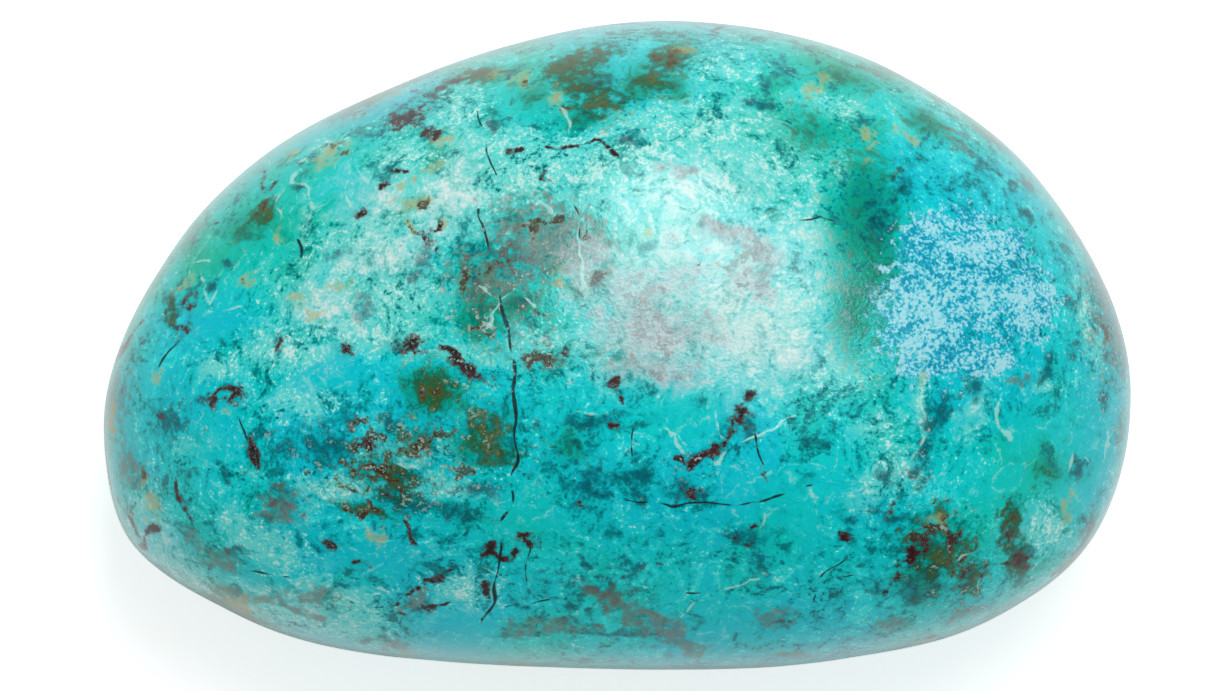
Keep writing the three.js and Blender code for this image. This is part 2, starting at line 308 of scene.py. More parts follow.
            (19.6, 1.9, 0.45, 0.24), (17.9, 5.7, 0.4, 0.4), (17.2, 6.8, 0.3, 0.5, -20, 0.1),
            (16.0, 7.8, 1.2, 0.6, -40, 0.5), (12.4, 6.9, 0.6, 1.1, 0, 0.3), (11.7, 4.8, 0.3, 0.6, 0, 0.1),
            (11.4, 5.4, 0.9, 1.6, 10, 0.3), (11.0, 2.0, 0.5, 1.0, 0, 0.6), (9.4, 2.6, 0.16, 0.14),
            (7.2, 12.0, 0.6, 0.5, 0, 0.4), (15.3, 1.1, 0.34, 0.3),
            # Thin spreads of small hollows.
            (-19.6, -3.2, 1.8, 1.2, 0, 0.6), (-2.4, -4.4, 2.6, 2.0, 0, 0.8), (-1.0, -10.6, 4.0, 1.6, 0, 0.8),
            (13.8, -10.0, 2.2, 1.6, 0, 0.4),
        ),
    ),
    # Grey-brown veils.
    Mineral.SMOKE: Marks(
        strokes=(
            (0.3, 4.0, 5.5, 5.0, 4.8, 6.0, 4.2, 6.4, 3.2, 6.3, 2.2),
            (0.3, -1.3, 5.2, -1.0, 4.2, -0.8, 3.2, -1.1, 2.2),
            (0.3, -17.4, -10.6, -15.5, -11.1, -14.0, -11.6, -12.6, -12.0),
            (0.55, -1.2, -10.7, 0.2, -11.3, 1.2, -11.9, 2.2, -12.4, 3.2, -13.1, 3.4, -13.8),
        ),
        patches=(
            (-3.0, 4.3, 1.7, 1.2, -10, -0.6), (-3.2, -0.6, 0.9, 0.5), (-5.6, 2.8, 1.3, 0.9, 0, -0.3),
            (-4.2, 1.0, 2.4, 1.4, 0, 0.7), (5.4, 3.4, 0.9, 0.8, 0, 0.5), (1.2, 2.3, 1.2, 0.8, 0, 0.6),
            (0.8, -0.6, 1.8, 0.6, 0, 0.6), (-14.5, -7.0, 0.9, 0.8), (-21.4, -5.3, 0.6, 0.7),
            (-20.8, -5.7, 0.8, 0.36), (-18.6, -8.4, 0.6, 0.3, -20), (-17.4, -9.3, 0.9, 0.45, -10),
            (-13.0, -11.0, 0.8, 0.5), (-8.9, -11.2, 0.9, 0.36, 35), (-4.2, -12.5, 0.6, 0.26),
            (-2.6, -12.2, 1.6, 0.3), (6.8, -11.9, 0.8, 0.5), (7.6, -13.5, 0.8, 0.2, -15),
            (11.8, -12.1, 0.6, 0.4), (15.3, -11.7, 0.9, 0.26, 15), (20.6, -8.0, 0.3, 0.8, -20),
            (22.0, -3.8, 0.3, 0.6), (11.3, 11.9, 0.8, 0.26, -25), (18.0, 7.0, 0.5, 0.4, -40),
            (16.2, 9.2, 1.2, 0.2, -40), (-9.6, 11.3, 1.4, 0.26, 25), (-18.6, 4.7, 0.7, 0.26, 45),
            (-7.0, 11.7, 0.8, 0.3, 20), (17.4, -1.6, 0.5, 0.3),
        ),
    ),
    # Where the ground turns from green to sky blue.
    Mineral.BLUE: Marks(
        patches=(
            (15.4, 6.0, 3.4, 3.0), (16.0, 1.6, 4.2, 3.4), (-0.5, -6.0, 6.0, 3.0, 0, 0.3),
            (-7.0, -10.6, 5.0, 2.4), (4.0, -12.4, 8.0, 1.6), (-18.0, 0.8, 2.2, 1.0),
            (-11.2, 9.9, 1.8, 0.6, 20), (0.4, 11.8, 1.0, 1.2, 0, 0.2), (-10.2, -9.0, 2.0, 1.0),
            (-13.0, -9.6, 6.0, 2.4, -15), (-15.0, -5.0, 6.0, 3.4, 0, 0.1), (8.0, -5.0, 6.0, 4.0, 0, 0.3),
        ),
    ),
    # The cluster of pale sky-blue granules.
    Mineral.GRANULE: Marks(
        patches=(
            (13.6, 1.6, 2.2, 3.0), (13.6, 4.4, 1.6, 1.2), (15.4, 3.2, 2.0, 2.8), (17.8, 1.8, 1.5, 1.8),
            (17.2, 4.4, 1.3, 0.9, 0, 0.3), (15.4, -0.6, 2.4, 0.8), (13.2, -0.9, 0.7, 0.6),
        ),
    ),
    # Pink-brown speckle, under a pale grey veil that is a painted highlight.
    Mineral.BLUSH: Marks(
        strokes=(
            (0.5, 4.2, 5.4, 5.0, 4.8, 6.0, 4.2, 6.4, 3.2, 6.4, 2.0),
            (0.22, 1.4, 7.8, 2.2, 7.9, 3.0, 7.6, 3.8, 7.3),
        ),
        patches=(
            (1.2, 2.2, 1.6, 1.3), (2.0, 0.6, 1.8, 0.9), (2.4, 3.1, 0.8, 0.5), (1.8, -0.9, 1.6, 0.7),
            (-0.4, 3.9, 0.8, 0.4), (-1.4, 3.0, 0.8, 1.4, 0, 0.2), (5.7, 2.8, 0.6, 0.6),
        ),
    ),
    # Chalky mint crust, thick or thin.
    Mineral.CHALK: Marks(
        patches=(
            (-7.0, 10.0, 1.1, 1.2), (-7.2, 7.2, 1.2, 1.4), (-6.0, 6.6, 1.6, 1.4),
            (-9.2, 8.3, 1.2, 0.6, 10, 0.1), (-8.4, 5.2, 1.4, 1.0, 0, 0.1), (-10.4, 4.4, 2.4, 1.0),
            (-11.6, 3.2, 2.4, 1.0), (-9.6, 2.2, 2.0, 1.0), (-12.8, 1.6, 1.6, 1.2), (-10.6, 0.6, 2.2, 0.6),
            (-14.4, -0.3, 1.6, 0.7), (-12.6, 8.5, 0.8, 0.4), (-13.6, 5.4, 0.5, 1.6, 0, 0.2),
            (-4.8, 8.9, 1.4, 0.8, 0, 0.1), (-4.0, 7.0, 2.6, 1.6), (-1.0, 7.6, 2.4, 1.4),
            (1.4, 8.4, 2.8, 1.4, 0, 0.1), (4.0, 9.4, 3.0, 1.4, 0, 0.1), (6.8, 7.8, 2.2, 1.6, 0, 0.2),
            (3.4, 6.8, 2.6, 1.4), (4.4, 12.2, 1.4, 1.2, 0, 0.4), (-3.3, 0.2, 1.8, 0.6, 0, 0.2),
            (-6.0, -0.4, 1.4, 0.5, 0, 0.4), (7.6, 1.4, 1.2, 2.4, 0, 0.3), (9.6, -1.4, 1.8, 0.9, 0, 0.2),
            (8.2, 4.8, 1.0, 1.4, 0, 0.4), (9.7, 7.6, 0.6, 0.9, 0, 0.2), (9.8, 10.3, 0.8, 0.4, -10),
            (12.0, -5.4, 0.8, 0.9, 0, 0.2), (11.4, -3.6, 1.2, 0.8, 0, 0.5), (13.2, -2.2, 0.24, 1.3),
            (15.6, -3.0, 0.4, 0.9, -30, 0.1), (10.8, -6.4, 0.8, 0.4, 20, 0.1),
            (18.8, -7.9, 1.2, 1.0, 0, 0.1), (18.6, -1.8, 1.0, 0.24, 0, 0.1), (-7.8, -4.6, 2.2, 0.6, 0, 0.6),
            (-12.6, -6.2, 1.4, 0.5, 0, 0.3), (-18.6, -4.3, 0.9, 0.3, 0, 0.1), (-16.0, -5.6, 0.5, 0.16),
            (-6.7, -10.6, 1.0, 0.7), (-7.4, -6.2, 1.6, 0.4, 0, 0.4), (-9.2, -5.2, 0.6, 0.12),
            (-17.4, -0.9, 0.8, 0.4, 0, 0.3), (-20.6, -7.4, 1.6, 1.0, 60, 0.4),
            (-18.6, -10.2, 2.4, 0.6, -30, 0.3), (-15.6, -8.4, 2.2, 1.0, -20, 0.6),
            (-14.4, -11.8, 3.0, 0.6, -15, 0.2), (-11.6, -11.4, 2.2, 0.9, -10, 0.4),
            (-13.0, -2.4, 2.2, 0.9, 0, 0.6), (-10.6, 6.4, 1.4, 1.2, 0, 0.2), (-9.4, 9.6, 1.2, 0.6, 10, 0.3),
            (20.6, 1.0, 0.5, 2.6, 10, 0.4),
        ),
    ),
    # The smooth whitish bloom: pale film on the left, painted highlight mid-crown, painted reflection low
    # left.
    Mineral.HAZE: Marks(
        patches=(
            (5.2, 2.4, 3.2, 3.2), (5.4, 0.4, 2.8, 1.9, 0, -0.1), (2.0, 3.0, 3.4, 3.0, 0, 0.1),
            (1.6, 0.2, 2.6, 1.6), (3.0, 6.6, 4.0, 1.6, 0, 0.3), (7.6, -0.4, 1.9, 1.2, 0, 0.1),
            (-12.6, 1.6, 2.0, 1.2, 0, 0.4), (-7.2, 6.6, 1.4, 2.6, 0, 0.3), (-10.2, 3.8, 2.6, 1.0, 10, 0.3),
            (-10.2, 6.4, 2.4, 2.0, 0, 0.6), (-19.5, -8.6, 2.6, 1.6, -50, 0.9),
            (-13.0, -11.4, 5.0, 1.2, -15, 0.9),
        ),
    ),
    # Pale cell walls and white veinlets.
    Mineral.VEIN: Marks(
        strokes=(
            (0.07, -13.0, 8.4, -13.8, 8.0, -14.0, 7.2, -13.3, 6.8, -13.2, 6.0, -13.5, 5.0),
            (0.07, -11.4, 7.8, -11.0, 7.3, -10.7, 6.6, -11.0, 5.8), (0.05, -12.3, 8.0, -12.4, 7.5),
            (0.05, -11.6, 7.8, -11.7, 7.0), (0.06, -11.8, 6.9, -11.7, 6.1, -11.2, 5.9),
            (0.06, -14.6, 6.5, -14.9, 5.9, -14.6, 5.4),
            (0.06, -18.1, 3.0, -18.0, 2.2, -17.6, 1.9, -17.3, 2.3),
            (0.07, -17.8, 1.6, -16.9, 1.5, -16.2, 1.7), (0.05, -18.6, 3.5, -17.6, 3.7, -16.8, 3.8),
            (0.06, -6.1, 2.5, -5.6, 2.2, -5.1, 1.9),
            (0.06, -5.1, 1.9, -4.5, 2.4, -3.8, 2.2, -3.4, 1.7, -3.0, 1.3),
            (0.05, -5.0, 1.8, -5.4, 1.3, -5.6, 0.6), (0.05, -5.5, 3.4, -5.1, 2.4),
            (0.05, -2.6, 10.8, -2.2, 9.8, -2.0, 9.0),
            (0.05, -2.0, 6.8, -1.8, 5.8, -1.7, 4.9, -1.6, 3.9, -1.5, 3.2),
            (0.07, -1.6, 3.4, -1.5, 2.6, -1.9, 1.8), (0.06, 2.0, -3.6, 2.7, -3.9, 2.9, -4.6),
            (0.04, 2.8, -3.9, 3.3, -4.5, 3.8, -4.9), (0.04, 4.1, -2.8, 4.4, -3.6, 4.8, -4.2),
            (0.05, 3.4, -5.9, 4.2, -5.2, 5.2, -4.3, 6.4, -3.8, 7.8, -3.0),
            (0.05, -3.6, -0.1, -3.0, -0.4, -2.5, -0.3),
            (0.08, -7.5, -9.3, -6.4, -9.4, -5.8, -9.8, -5.1, -10.1, -4.3, -10.6),
            (0.05, -1.8, -2.9, -0.9, -3.0, -0.3, -2.9), (0.07, -11.5, -5.8, -11.3, -6.2, -11.0, -6.6),
            (0.07, -9.7, -5.2, -9.0, -5.3, -8.6, -5.3),
            (0.05, 2.4, -12.0, 3.3, -11.4, 4.2, -11.0, 5.2, -10.4, 6.4, -10.2),
            (0.06, 6.2, -10.0, 6.7, -10.1), (0.05, 6.3, -7.2, 6.4, -8.2, 6.5, -9.0),
            (0.08, 16.6, -2.6, 16.4, -3.0, 16.8, -3.6, 17.2, -4.3),
            (0.09, 13.3, -1.3, 13.2, -2.4, 13.4, -3.6, 12.9, -4.9),
            (0.05, 13.9, -9.4, 14.6, -9.5, 15.6, -9.1), (0.05, 15.9, -10.2, 15.8, -10.8, 15.3, -11.2),
            (0.06, 19.5, -5.6, 20.0, -4.5, 20.5, -5.2), (0.06, 21.2, -3.2, 21.5, -4.0, 21.2, -5.2),
            (0.06, -10.6, -10.5, -10.0, -10.6), (0.07, -4.0, 6.3, -3.3, 6.0, -2.8, 5.6),
            (0.05, -4.0, 9.4, -3.4, 9.0, -2.8, 8.9),
        ),
        patches=(
            (8.7, -6.5, 0.4, 0.12, -40), (21.5, -4.3, 0.14, 0.14), (-16.7, -5.2, 0.16, 0.16),
            (9.8, -5.3, 0.12, 0.1),
        ),
    ),
    # Clear angular cells with thin pale walls.
    Mineral.CELL: Marks(
        patches=(
            (-12.4, 7.0, 1.8, 1.4, 20, -0.2), (-14.6, 5.6, 1.6, 1.5, 0, -0.2), (-17.2, 3.6, 1.8, 1.6, 40),
            (-3.6, 10.4, 1.8, 1.0), (0.4, 12.0, 1.0, 1.0, 0, 0.2), (-5.4, 1.4, 1.4, 1.2),
            (20.4, -4.6, 1.4, 2.6), (14.2, -9.4, 1.6, 1.4), (19.6, -7.0, 1.2, 1.0),
            # Calm clear ground.
            (-17.4, -3.8, 1.6, 1.4), (-10.0, -9.4, 2.0, 1.0), (-12.0, -1.6, 1.6, 0.8), (3.0, -3.2, 2.6, 1.2),
            (6.6, -6.8, 4.0, 2.4, 0, 0.1), (17.6, -4.6, 2.4, 2.6), (4.4, -12.0, 3.0, 1.4, 0, 0.2),
            (-4.4, -7.6, 2.4, 1.4, 0, 0.3), (-16.4, 4.6, 1.4, 1.4), (-11.2, 9.9, 1.8, 0.7, 20),
            (-17.6, 0.9, 1.4, 0.8),
        ),
    ),
    # Fine white crumbs over everything else.
    Mineral.FROST: Marks(
        patches=(
            (-5.0, 1.2, 3.6, 3.0), (-3.0, -0.2, 2.6, 1.4), (-9.6, -5.4, 4.0, 2.4),
            (-8.4, 3.6, 3.6, 2.4, 0, 0.3), (-16.6, -3.6, 3.0, 2.0, 0, 0.4), (-13.0, 0.6, 3.4, 1.4, 0, 0.4),
            (13.0, -5.6, 2.0, 1.8, 0, 0.4), (14.6, -9.0, 2.4, 1.8, 0, 0.4), (3.6, -5.2, 2.0, 1.4, 0, 0.5),
        ),
    ),
}


def unit(rows: np.ndarray) -> np.ndarray:
    """Vectors, one a row, drawn to a length of 1."""
    return rows / np.linalg.norm(rows, axis=1)[:, None]


@dataclass(frozen=True)
class Ripples:
    """Smooth seeded unevenness of many crossing waves: its usual height and wave lengths in millimetres."""

    height: float
    lengths: Pair
    seed: int
    count: int = 24

    def at(self, places: np.ndarray, layer: int = 0) -> np.ndarray:
        """The unevenness at each place.

        Args:
            places: the places, one a row.
            layer: which of many unlike patterns to take.

        Returns:
            One value for each place.
        """
        chance = np.random.RandomState(self.seed + layer)
        total = np.zeros(len(places))
        for _ in range(self.count):
            length = chance.uniform(*self.lengths)
            heading = chance.normal(size=3)
            heading *= math.tau / length / np.linalg.norm(heading)
            share = length / self.lengths[1]
            total += share * np.sin(places @ heading + chance.uniform(0, math.tau))
        return total * self.height / math.sqrt(self.count / 2)

    def shift(self, places: np.ndarray) -> np.ndarray:
        """The places, each moved by the unevenness along all three axes."""
        return places + np.column_stack([self.at(places, layer) for layer in (1, 2, 3)])


@dataclass(frozen=True)
class WornFace:
    """An old break face worn to a soft flat: which way it faces, in degrees, and how far from the middle."""

    azimuth: float
    elevation: float
    distance: float

    def normal(self) -> np.ndarray:
        """The way that the face looks.

        Returns:
            A unit vector.
        """
        turn = math.radians(self.azimuth)
        lift = math.radians(self.elevation)
        level = math.cos(lift)
        return np.array((math.cos(turn) * level, math.sin(turn) * level, math.sin(lift)))


@dataclass
class PebbleForm:
    """The stone's smooth form, in millimetres: a rounded body, soft worn faces and a rubbed resting flat.

    The girth's turns are places that its outline runs through, seen from above.
    """

    girth_turns: tuple[Pair, ...] = (
        (22.4, -2.4), (19.6, 5.6), (12.0, 12.0), (3.0, 14.2), (-10.0, 11.3), (-19.3, 4.6), (-22.7, -4.6),
        (-21.8, -8.2), (-17.2, -11.6), (-8.0, -13.8), (1.5, -14.2), (10.0, -13.7), (16.5, -11.9),
        (20.4, -8.9),
    )
    crown_height: float = 11.4
    belly_depth: float = 9.2
    girth_slope: Pair = (0.015, -0.03)
    crown_fullness: float = 2.2
    belly_fullness: float = 2.4
    worn_faces: tuple[WornFace, ...] = (
        WornFace(20, 82, 11.3),
        WornFace(150, 56, 14.5),
        WornFace(196, 38, 20.0),
        WornFace(268, 50, 12.5),
        WornFace(335, 47, 17.4),
        WornFace(62, 52, 13.6),
        WornFace(165, -52, 15.5),
        WornFace(285, -55, 12.2),
        WornFace(25, -50, 15.4),
    )
    wear_sharpness: float = 22.0
    rest_wear: float = 0.42
    rest_edge: float = 0.16
    even_stretch: tuple[float, float, float] = (22.0, 15.0, 11.0)
    halvings: int = 30
    offset: np.ndarray = field(default_factory=lambda: np.zeros(3))

    def settle(self, directions: np.ndarray) -> None:
        """Centres the outline over the origin and brings the rubbed flat down to height 0.

        Args:
            directions: unit vectors spread evenly over the whole stone.
        """
        raw = self.body(directions)
        low = raw.min(axis=0)
        middle = (low + raw.max(axis=0)) / 2
        self.offset = np.array((-middle[0], -middle[1], -(low[2] + self.rest_wear)))

    def girth_radius(self, azimuth: np.ndarray) -> np.ndarray:
        """The outline's radius, on a smooth closed curve through the turns of the outline.

        Args:
            azimuth: compass angles, in radians.

        Returns:
            One radius for each angle.
        """
        turns = np.array(self.girth_turns)
        angles = np.arctan2(turns[:, 1], turns[:, 0]) % math.tau
        order = np.argsort(angles)
        angles = angles[order]
        radii = np.hypot(turns[:, 0], turns[:, 1])[order]
        # The round runs on past both its ends, so that every turn has neighbours.
        angles = np.concatenate((angles[-2:] - math.tau, angles, angles[:2] + math.tau))
        radii = np.concatenate((radii[-2:], radii, radii[:2]))
        spans = np.diff(angles)
        rates = np.diff(radii) / spans
        slopes = (rates[:-1] * spans[1:] + rates[1:] * spans[:-1]) / (spans[:-1] + spans[1:])
        angle = azimuth % math.tau
        start = np.searchsorted(angles, angle, side="right") - 1
        span = spans[start]
        share = (angle - angles[start]) / span
        rest = 1 - share
        return (
            radii[start] * rest**2 * (1 + 2 * share)
            + radii[start + 1] * share**2 * (3 - 2 * share)
            + slopes[start - 1] * span * share * rest**2
            - slopes[start] * span * share**2 * rest
        )

    def distance(self, directions: np.ndarray) -> np.ndarray:
        """How far the surface lies from the body's middle.

        Args:
            directions: unit vectors from the middle, one a row.

        Returns:
            One distance for each direction.
        """
        above = directions[:, 2] >= 0
        fullness = np.where(above, self.crown_fullness, self.belly_fullness)
        height = np.where(above, self.crown_height, self.belly_depth)
        azimuth = np.arctan2(directions[:, 1], directions[:, 0])
        level = np.hypot(directions[:, 0], directions[:, 1]) / self.girth_radius(azimuth)
        upright = np.abs(directions[:, 2]) / height
        rounded = (level**fullness + upright**fullness) ** (1 / fullness)
        total = rounded**self.wear_sharpness
        for face in self.worn_faces:
            term = np.maximum(directions @ face.normal(), 0) / face.distance
            total += term**self.wear_sharpness
        return total ** (-1 / self.wear_sharpness)

    def body(self, directions: np.ndarray) -> np.ndarray:
        """Places on the body before it is set down.

        Args:
            directions: unit vectors from the middle, one a row.

        Returns:
            One place for each direction, from the body's middle.
        """
        places = directions * self.distance(directions)[:, None]
        places[:, 2] += self.girth_slope[0] * places[:, 0] + self.girth_slope[1] * places[:, 1]
        return places

    def surface(self, directions: np.ndarray) -> np.ndarray:
        """Places on the finished form, set down on its rubbed flat.

        Args:
            directions: unit vectors from the middle, one a row.

        Returns:
            One place for each direction, in the stone's own frame.
        """
        places = self.body(directions) + self.offset
        height = places[:, 2]
        eased = (height + self.rest_edge) ** 2 / (4 * self.rest_edge)
        flat = np.where(height <= -self.rest_edge, 0, eased)
        places[:, 2] = np.where(height >= self.rest_edge, height, flat)
        return places

    def lift(self, plan: np.ndarray) -> np.ndarray:
        """Raises places seen from above onto the crown.

        Args:
            plan: x and y of each place, one a row.

        Returns:
            The places on the surface. One past the outline comes back on the girth.
        """
        level = plan - self.offset[:2]
        low = np.zeros(len(plan))
        high = np.full(len(plan), 2 * self.crown_height)
        for _ in range(self.halvings):
            middle = (low + high) / 2
            tilt = level[:, 0] * self.girth_slope[0] + level[:, 1] * self.girth_slope[1]
            point = np.column_stack((level, middle - tilt))
            reach = np.linalg.norm(point, axis=1)
            inside = reach < self.distance(point / reach[:, None])
            low = np.where(inside, middle, low)
            high = np.where(inside, high, middle)
        return np.column_stack((plan, low + self.offset[2]))


@dataclass
class MineralMap:
    """Where each mineral lies: marks placed on the crown, and more of them strewn over the flanks and belly.

    A mark's field is 1 on its middle line, 0 at its edge, and falls to the floor outside.
    """

    form: PebbleForm
    flatness: np.ndarray = field(default_factory=lambda: np.array((1.0, 1.0, 0.6)))
    step: float = 0.35
    floor: float = -2.0
    seed: int = 19
    wander: Ripples = Ripples(0.1, (0.6, 2.6), 31)
    swell: Ripples = Ripples(0.55, (0.5, 2.2), 47)
    leanest: float = 0.45
    taper: float = 0.45
    jag: float = 0.04
    slimmest_oval: float = 0.5
    lines: dict[Mineral, list[tuple[float, np.ndarray]]] = field(default_factory=dict)
    ovals: dict[Mineral, list[tuple[Patch, np.ndarray]]] = field(default_factory=dict)

    def lay_out(self) -> None:
        """Raises every mark onto the surface, with its strokes a little jagged, and strews the rest."""
        chance = np.random.RandomState(self.seed)
        for mineral, marks in CROWN_MARKS.items():
            jag = 0.0 if mineral is Mineral.CRACK else self.jag
            self.lines[mineral] = []
            for half_width, *places in marks.strokes:
                plan = self.resampled(np.reshape(places, (-1, 2)))
                plan += chance.normal(scale=jag, size=plan.shape)
                self.lines[mineral].append((half_width, self.form.lift(plan)))
            ovals = [Patch(*row) for row in marks.patches]
            self.ovals[mineral] = [(oval, self.form.lift(np.array([[oval.x, oval.y]]))[0]) for oval in ovals]
        self.strew(chance)

    def resampled(self, corners: np.ndarray) -> np.ndarray:
        """Fills in a mark's line so that it follows the curve of the surface.

        Args:
            corners: the corners of the line, seen from above, one a row.

        Returns:
            Places along the line, a step or less apart.
        """
        filled = [corners[:1]]
        for start, end in zip(corners[:-1], corners[1:]):
            count = max(1, math.ceil(np.linalg.norm(end - start) / self.step))
            share = np.arange(1, count + 1)[:, None] / count
            filled.append(start + (end - start) * share)
        return np.concatenate(filled)

    def strew(self, chance: np.random.RandomState) -> None:
        """Adds seeded strokes and patches where the crown's own marks don't reach.

        Args:
            chance: the seeded source of numbers.
        """
        for mineral, plan in STREWN.items():
            for _ in range(plan.strokes):
                half_width = chance.uniform(*plan.half_width)
                self.lines[mineral].append((half_width, self.walk(chance, plan)))
            for _ in range(plan.patches):
                middle = self.form.surface(self.start(chance, plan.ceiling)[None, :])[0]
                along = chance.uniform(*plan.size)
                across = along * chance.uniform(self.slimmest_oval, 1.0)
                oval = Patch(*middle[:2], along, across, chance.uniform(0, 180))
                self.ovals[mineral].append((oval, middle))

    @staticmethod
    def start(chance: np.random.RandomState, ceiling: float) -> np.ndarray:
        """A seeded direction at or below an elevation.

        Args:
            chance: the seeded source of numbers.
            ceiling: the highest elevation, in degrees.

        Returns:
            A unit vector.
        """
        height = chance.uniform(-1, math.sin(math.radians(ceiling)))
        turn = chance.uniform(0, math.tau)
        level = math.sqrt(1 - height * height)
        return np.array((math.cos(turn) * level, math.sin(turn) * level, height))

    def walk(self, chance: np.random.RandomState, plan: Strewing) -> np.ndarray:
        """A seeded wandering line on the surface.

        Args:
            chance: the seeded source of numbers.
            plan: how such lines start and run.

        Returns:
            Places along the line, one a row.
        """
        direction = self.start(chance, plan.ceiling)
        heading = np.cross(direction, chance.normal(size=3))
        directions = [direction]
        for _ in range(chance.randint(plan.steps[0], plan.steps[1] + 1)):
            heading = heading / np.linalg.norm(heading) + chance.normal(scale=plan.wander, size=3)
            heading -= direction * (heading @ direction)
            direction = direction + heading / np.linalg.norm(heading) * plan.stride
            direction = direction / np.linalg.norm(direction)
            directions.append(direction)
        return self.form.surface(np.array(directions))

    def depths(self, places: np.ndarray) -> dict[Mineral, np.ndarray]:
        """How deep each place lies in each mineral's marks.

        Args:
            places: places on the surface, one a row.

        Returns:
            For each mineral, its field at each place.
        """
        moved = self.wander.shift(places)
        swell = np.maximum(1 + self.swell.at(places), self.leanest)
        return {mineral: self.depth(mineral, moved, swell) for mineral in Mineral}

    def depth(self, mineral: Mineral, places: np.ndarray, swell: np.ndarray) -> np.ndarray:
        """How deep each place lies in one mineral's marks.

        Args:
            mineral: the kind of mark.
            places: places on the surface, moved about a little so that the marks wander.
            swell: how much wider than drawn the marks are at each place.

        Returns:
            The mineral's field at each place.
        """
        best = np.full(len(places), self.floor)
        for half_width, line, near in self.passing(mineral, places, 1 - self.floor, 0.0):
            width = np.maximum(swell[near] * half_width, THINNEST)
            thin = 1 - min(1.0, half_width / THINNEST)
            depth = self.line_depth(places[near] * self.flatness, line * self.flatness, width) - thin
            best[near] = np.maximum(best[near], depth)
        for oval, middle in self.ovals[mineral]:
            reach = max(oval.along, oval.across) * (1 - self.floor) / self.flatness
            near = self.within(places, middle - reach, middle + reach)
            apart = places[near] - middle
            turn = math.radians(oval.turn)
            along = apart[:, 0] * math.cos(turn) + apart[:, 1] * math.sin(turn)
            across = apart[:, 1] * math.cos(turn) - apart[:, 0] * math.sin(turn)
            rise = apart[:, 2] * self.flatness[2] / math.sqrt(oval.along * oval.across)
            reach = np.sqrt((along / oval.along) ** 2 + (across / oval.across) ** 2 + rise**2)
            depth = 1 - oval.thin - reach
            best[near] = np.maximum(best[near], depth)
        return best

    def passing(
        self, mineral: Mineral, places: np.ndarray, times: float, margin: float
    ) -> Iterator[tuple[float, np.ndarray, np.ndarray]]:
        """The lines of a mineral that pass near any of the places.

        Args:
            mineral: the kind of mark.
            places: the places, one a row.
            times: how many of a line's half-widths count as near it.
            margin: how much further counts too.

        Yields:
            The half-width of each such line, its corners, and the rows of the places near it.
        """
        for half_width, line in self.lines[mineral]:
            reach = (half_width * times + margin) / self.flatness
            near = self.within(places, line.min(axis=0) - reach, line.max(axis=0) + reach)
            if len(near):
                yield half_width, line, near

    @staticmethod
    def within(places: np.ndarray, low: np.ndarray, high: np.ndarray) -> np.ndarray:
        """The rows of the places that lie in a box."""
        return np.nonzero(np.all((places >= low) & (places <= high), axis=1))[0]

    def line_depth(self, places: np.ndarray, line: np.ndarray, width: np.ndarray) -> np.ndarray:
        """How deep each place lies in a line of straight pieces that narrows towards both ends.

        Args:
            places: the places, one a row.
            line: the line's corners, one a row.
            width: the line's half-width at each place.

        Returns:
            One value for each place: 1 on the line, 0 at its edge, and less outside.
        """
        deepest = np.full(len(places), -np.inf)
        pieces = len(line) - 1
        for index in range(pieces):
            run = line[index + 1] - line[index]
            share = np.clip((places - line[index]) @ run / max(run @ run, SHORTEST_RUN), 0, 1)
            apart = np.linalg.norm(places - line[index] - share[:, None] * run, axis=1)
            way = (index + share) / pieces
            full = 1 - self.taper * np.abs(2 * way - 1) ** 3
            deepest = np.maximum(deepest, 1 - apart / (width * full))
        return deepest

    def wanted_edge(self, places: np.ndarray, plain: float, margin: float) -> np.ndarray:
        """How long the mesh's edges may be at each place, so that thin marks stay crisp.

        Args:
            places: places on the surface, one a row.
            plain: the edge length away from every mark.
            margin: how far past a mark's edge its fineness reaches.

        Returns:
            One length for each place.
        """
        wanted = np.full(len(places), plain)
        moved = self.wander.shift(places)
        for mineral, fineness in FINENESS.items():
            for half_width, line, near in self.passing(mineral, moved, 1.0, margin):
                width = np.full(len(near), half_width + margin)
                close = near[self.line_depth(moved[near] * self.flatness, line * self.flatness, width) > 0]
                wanted[close] = np.minimum(wanted[close], max(half_width * fineness, FINEST_EDGE))
        return wanted


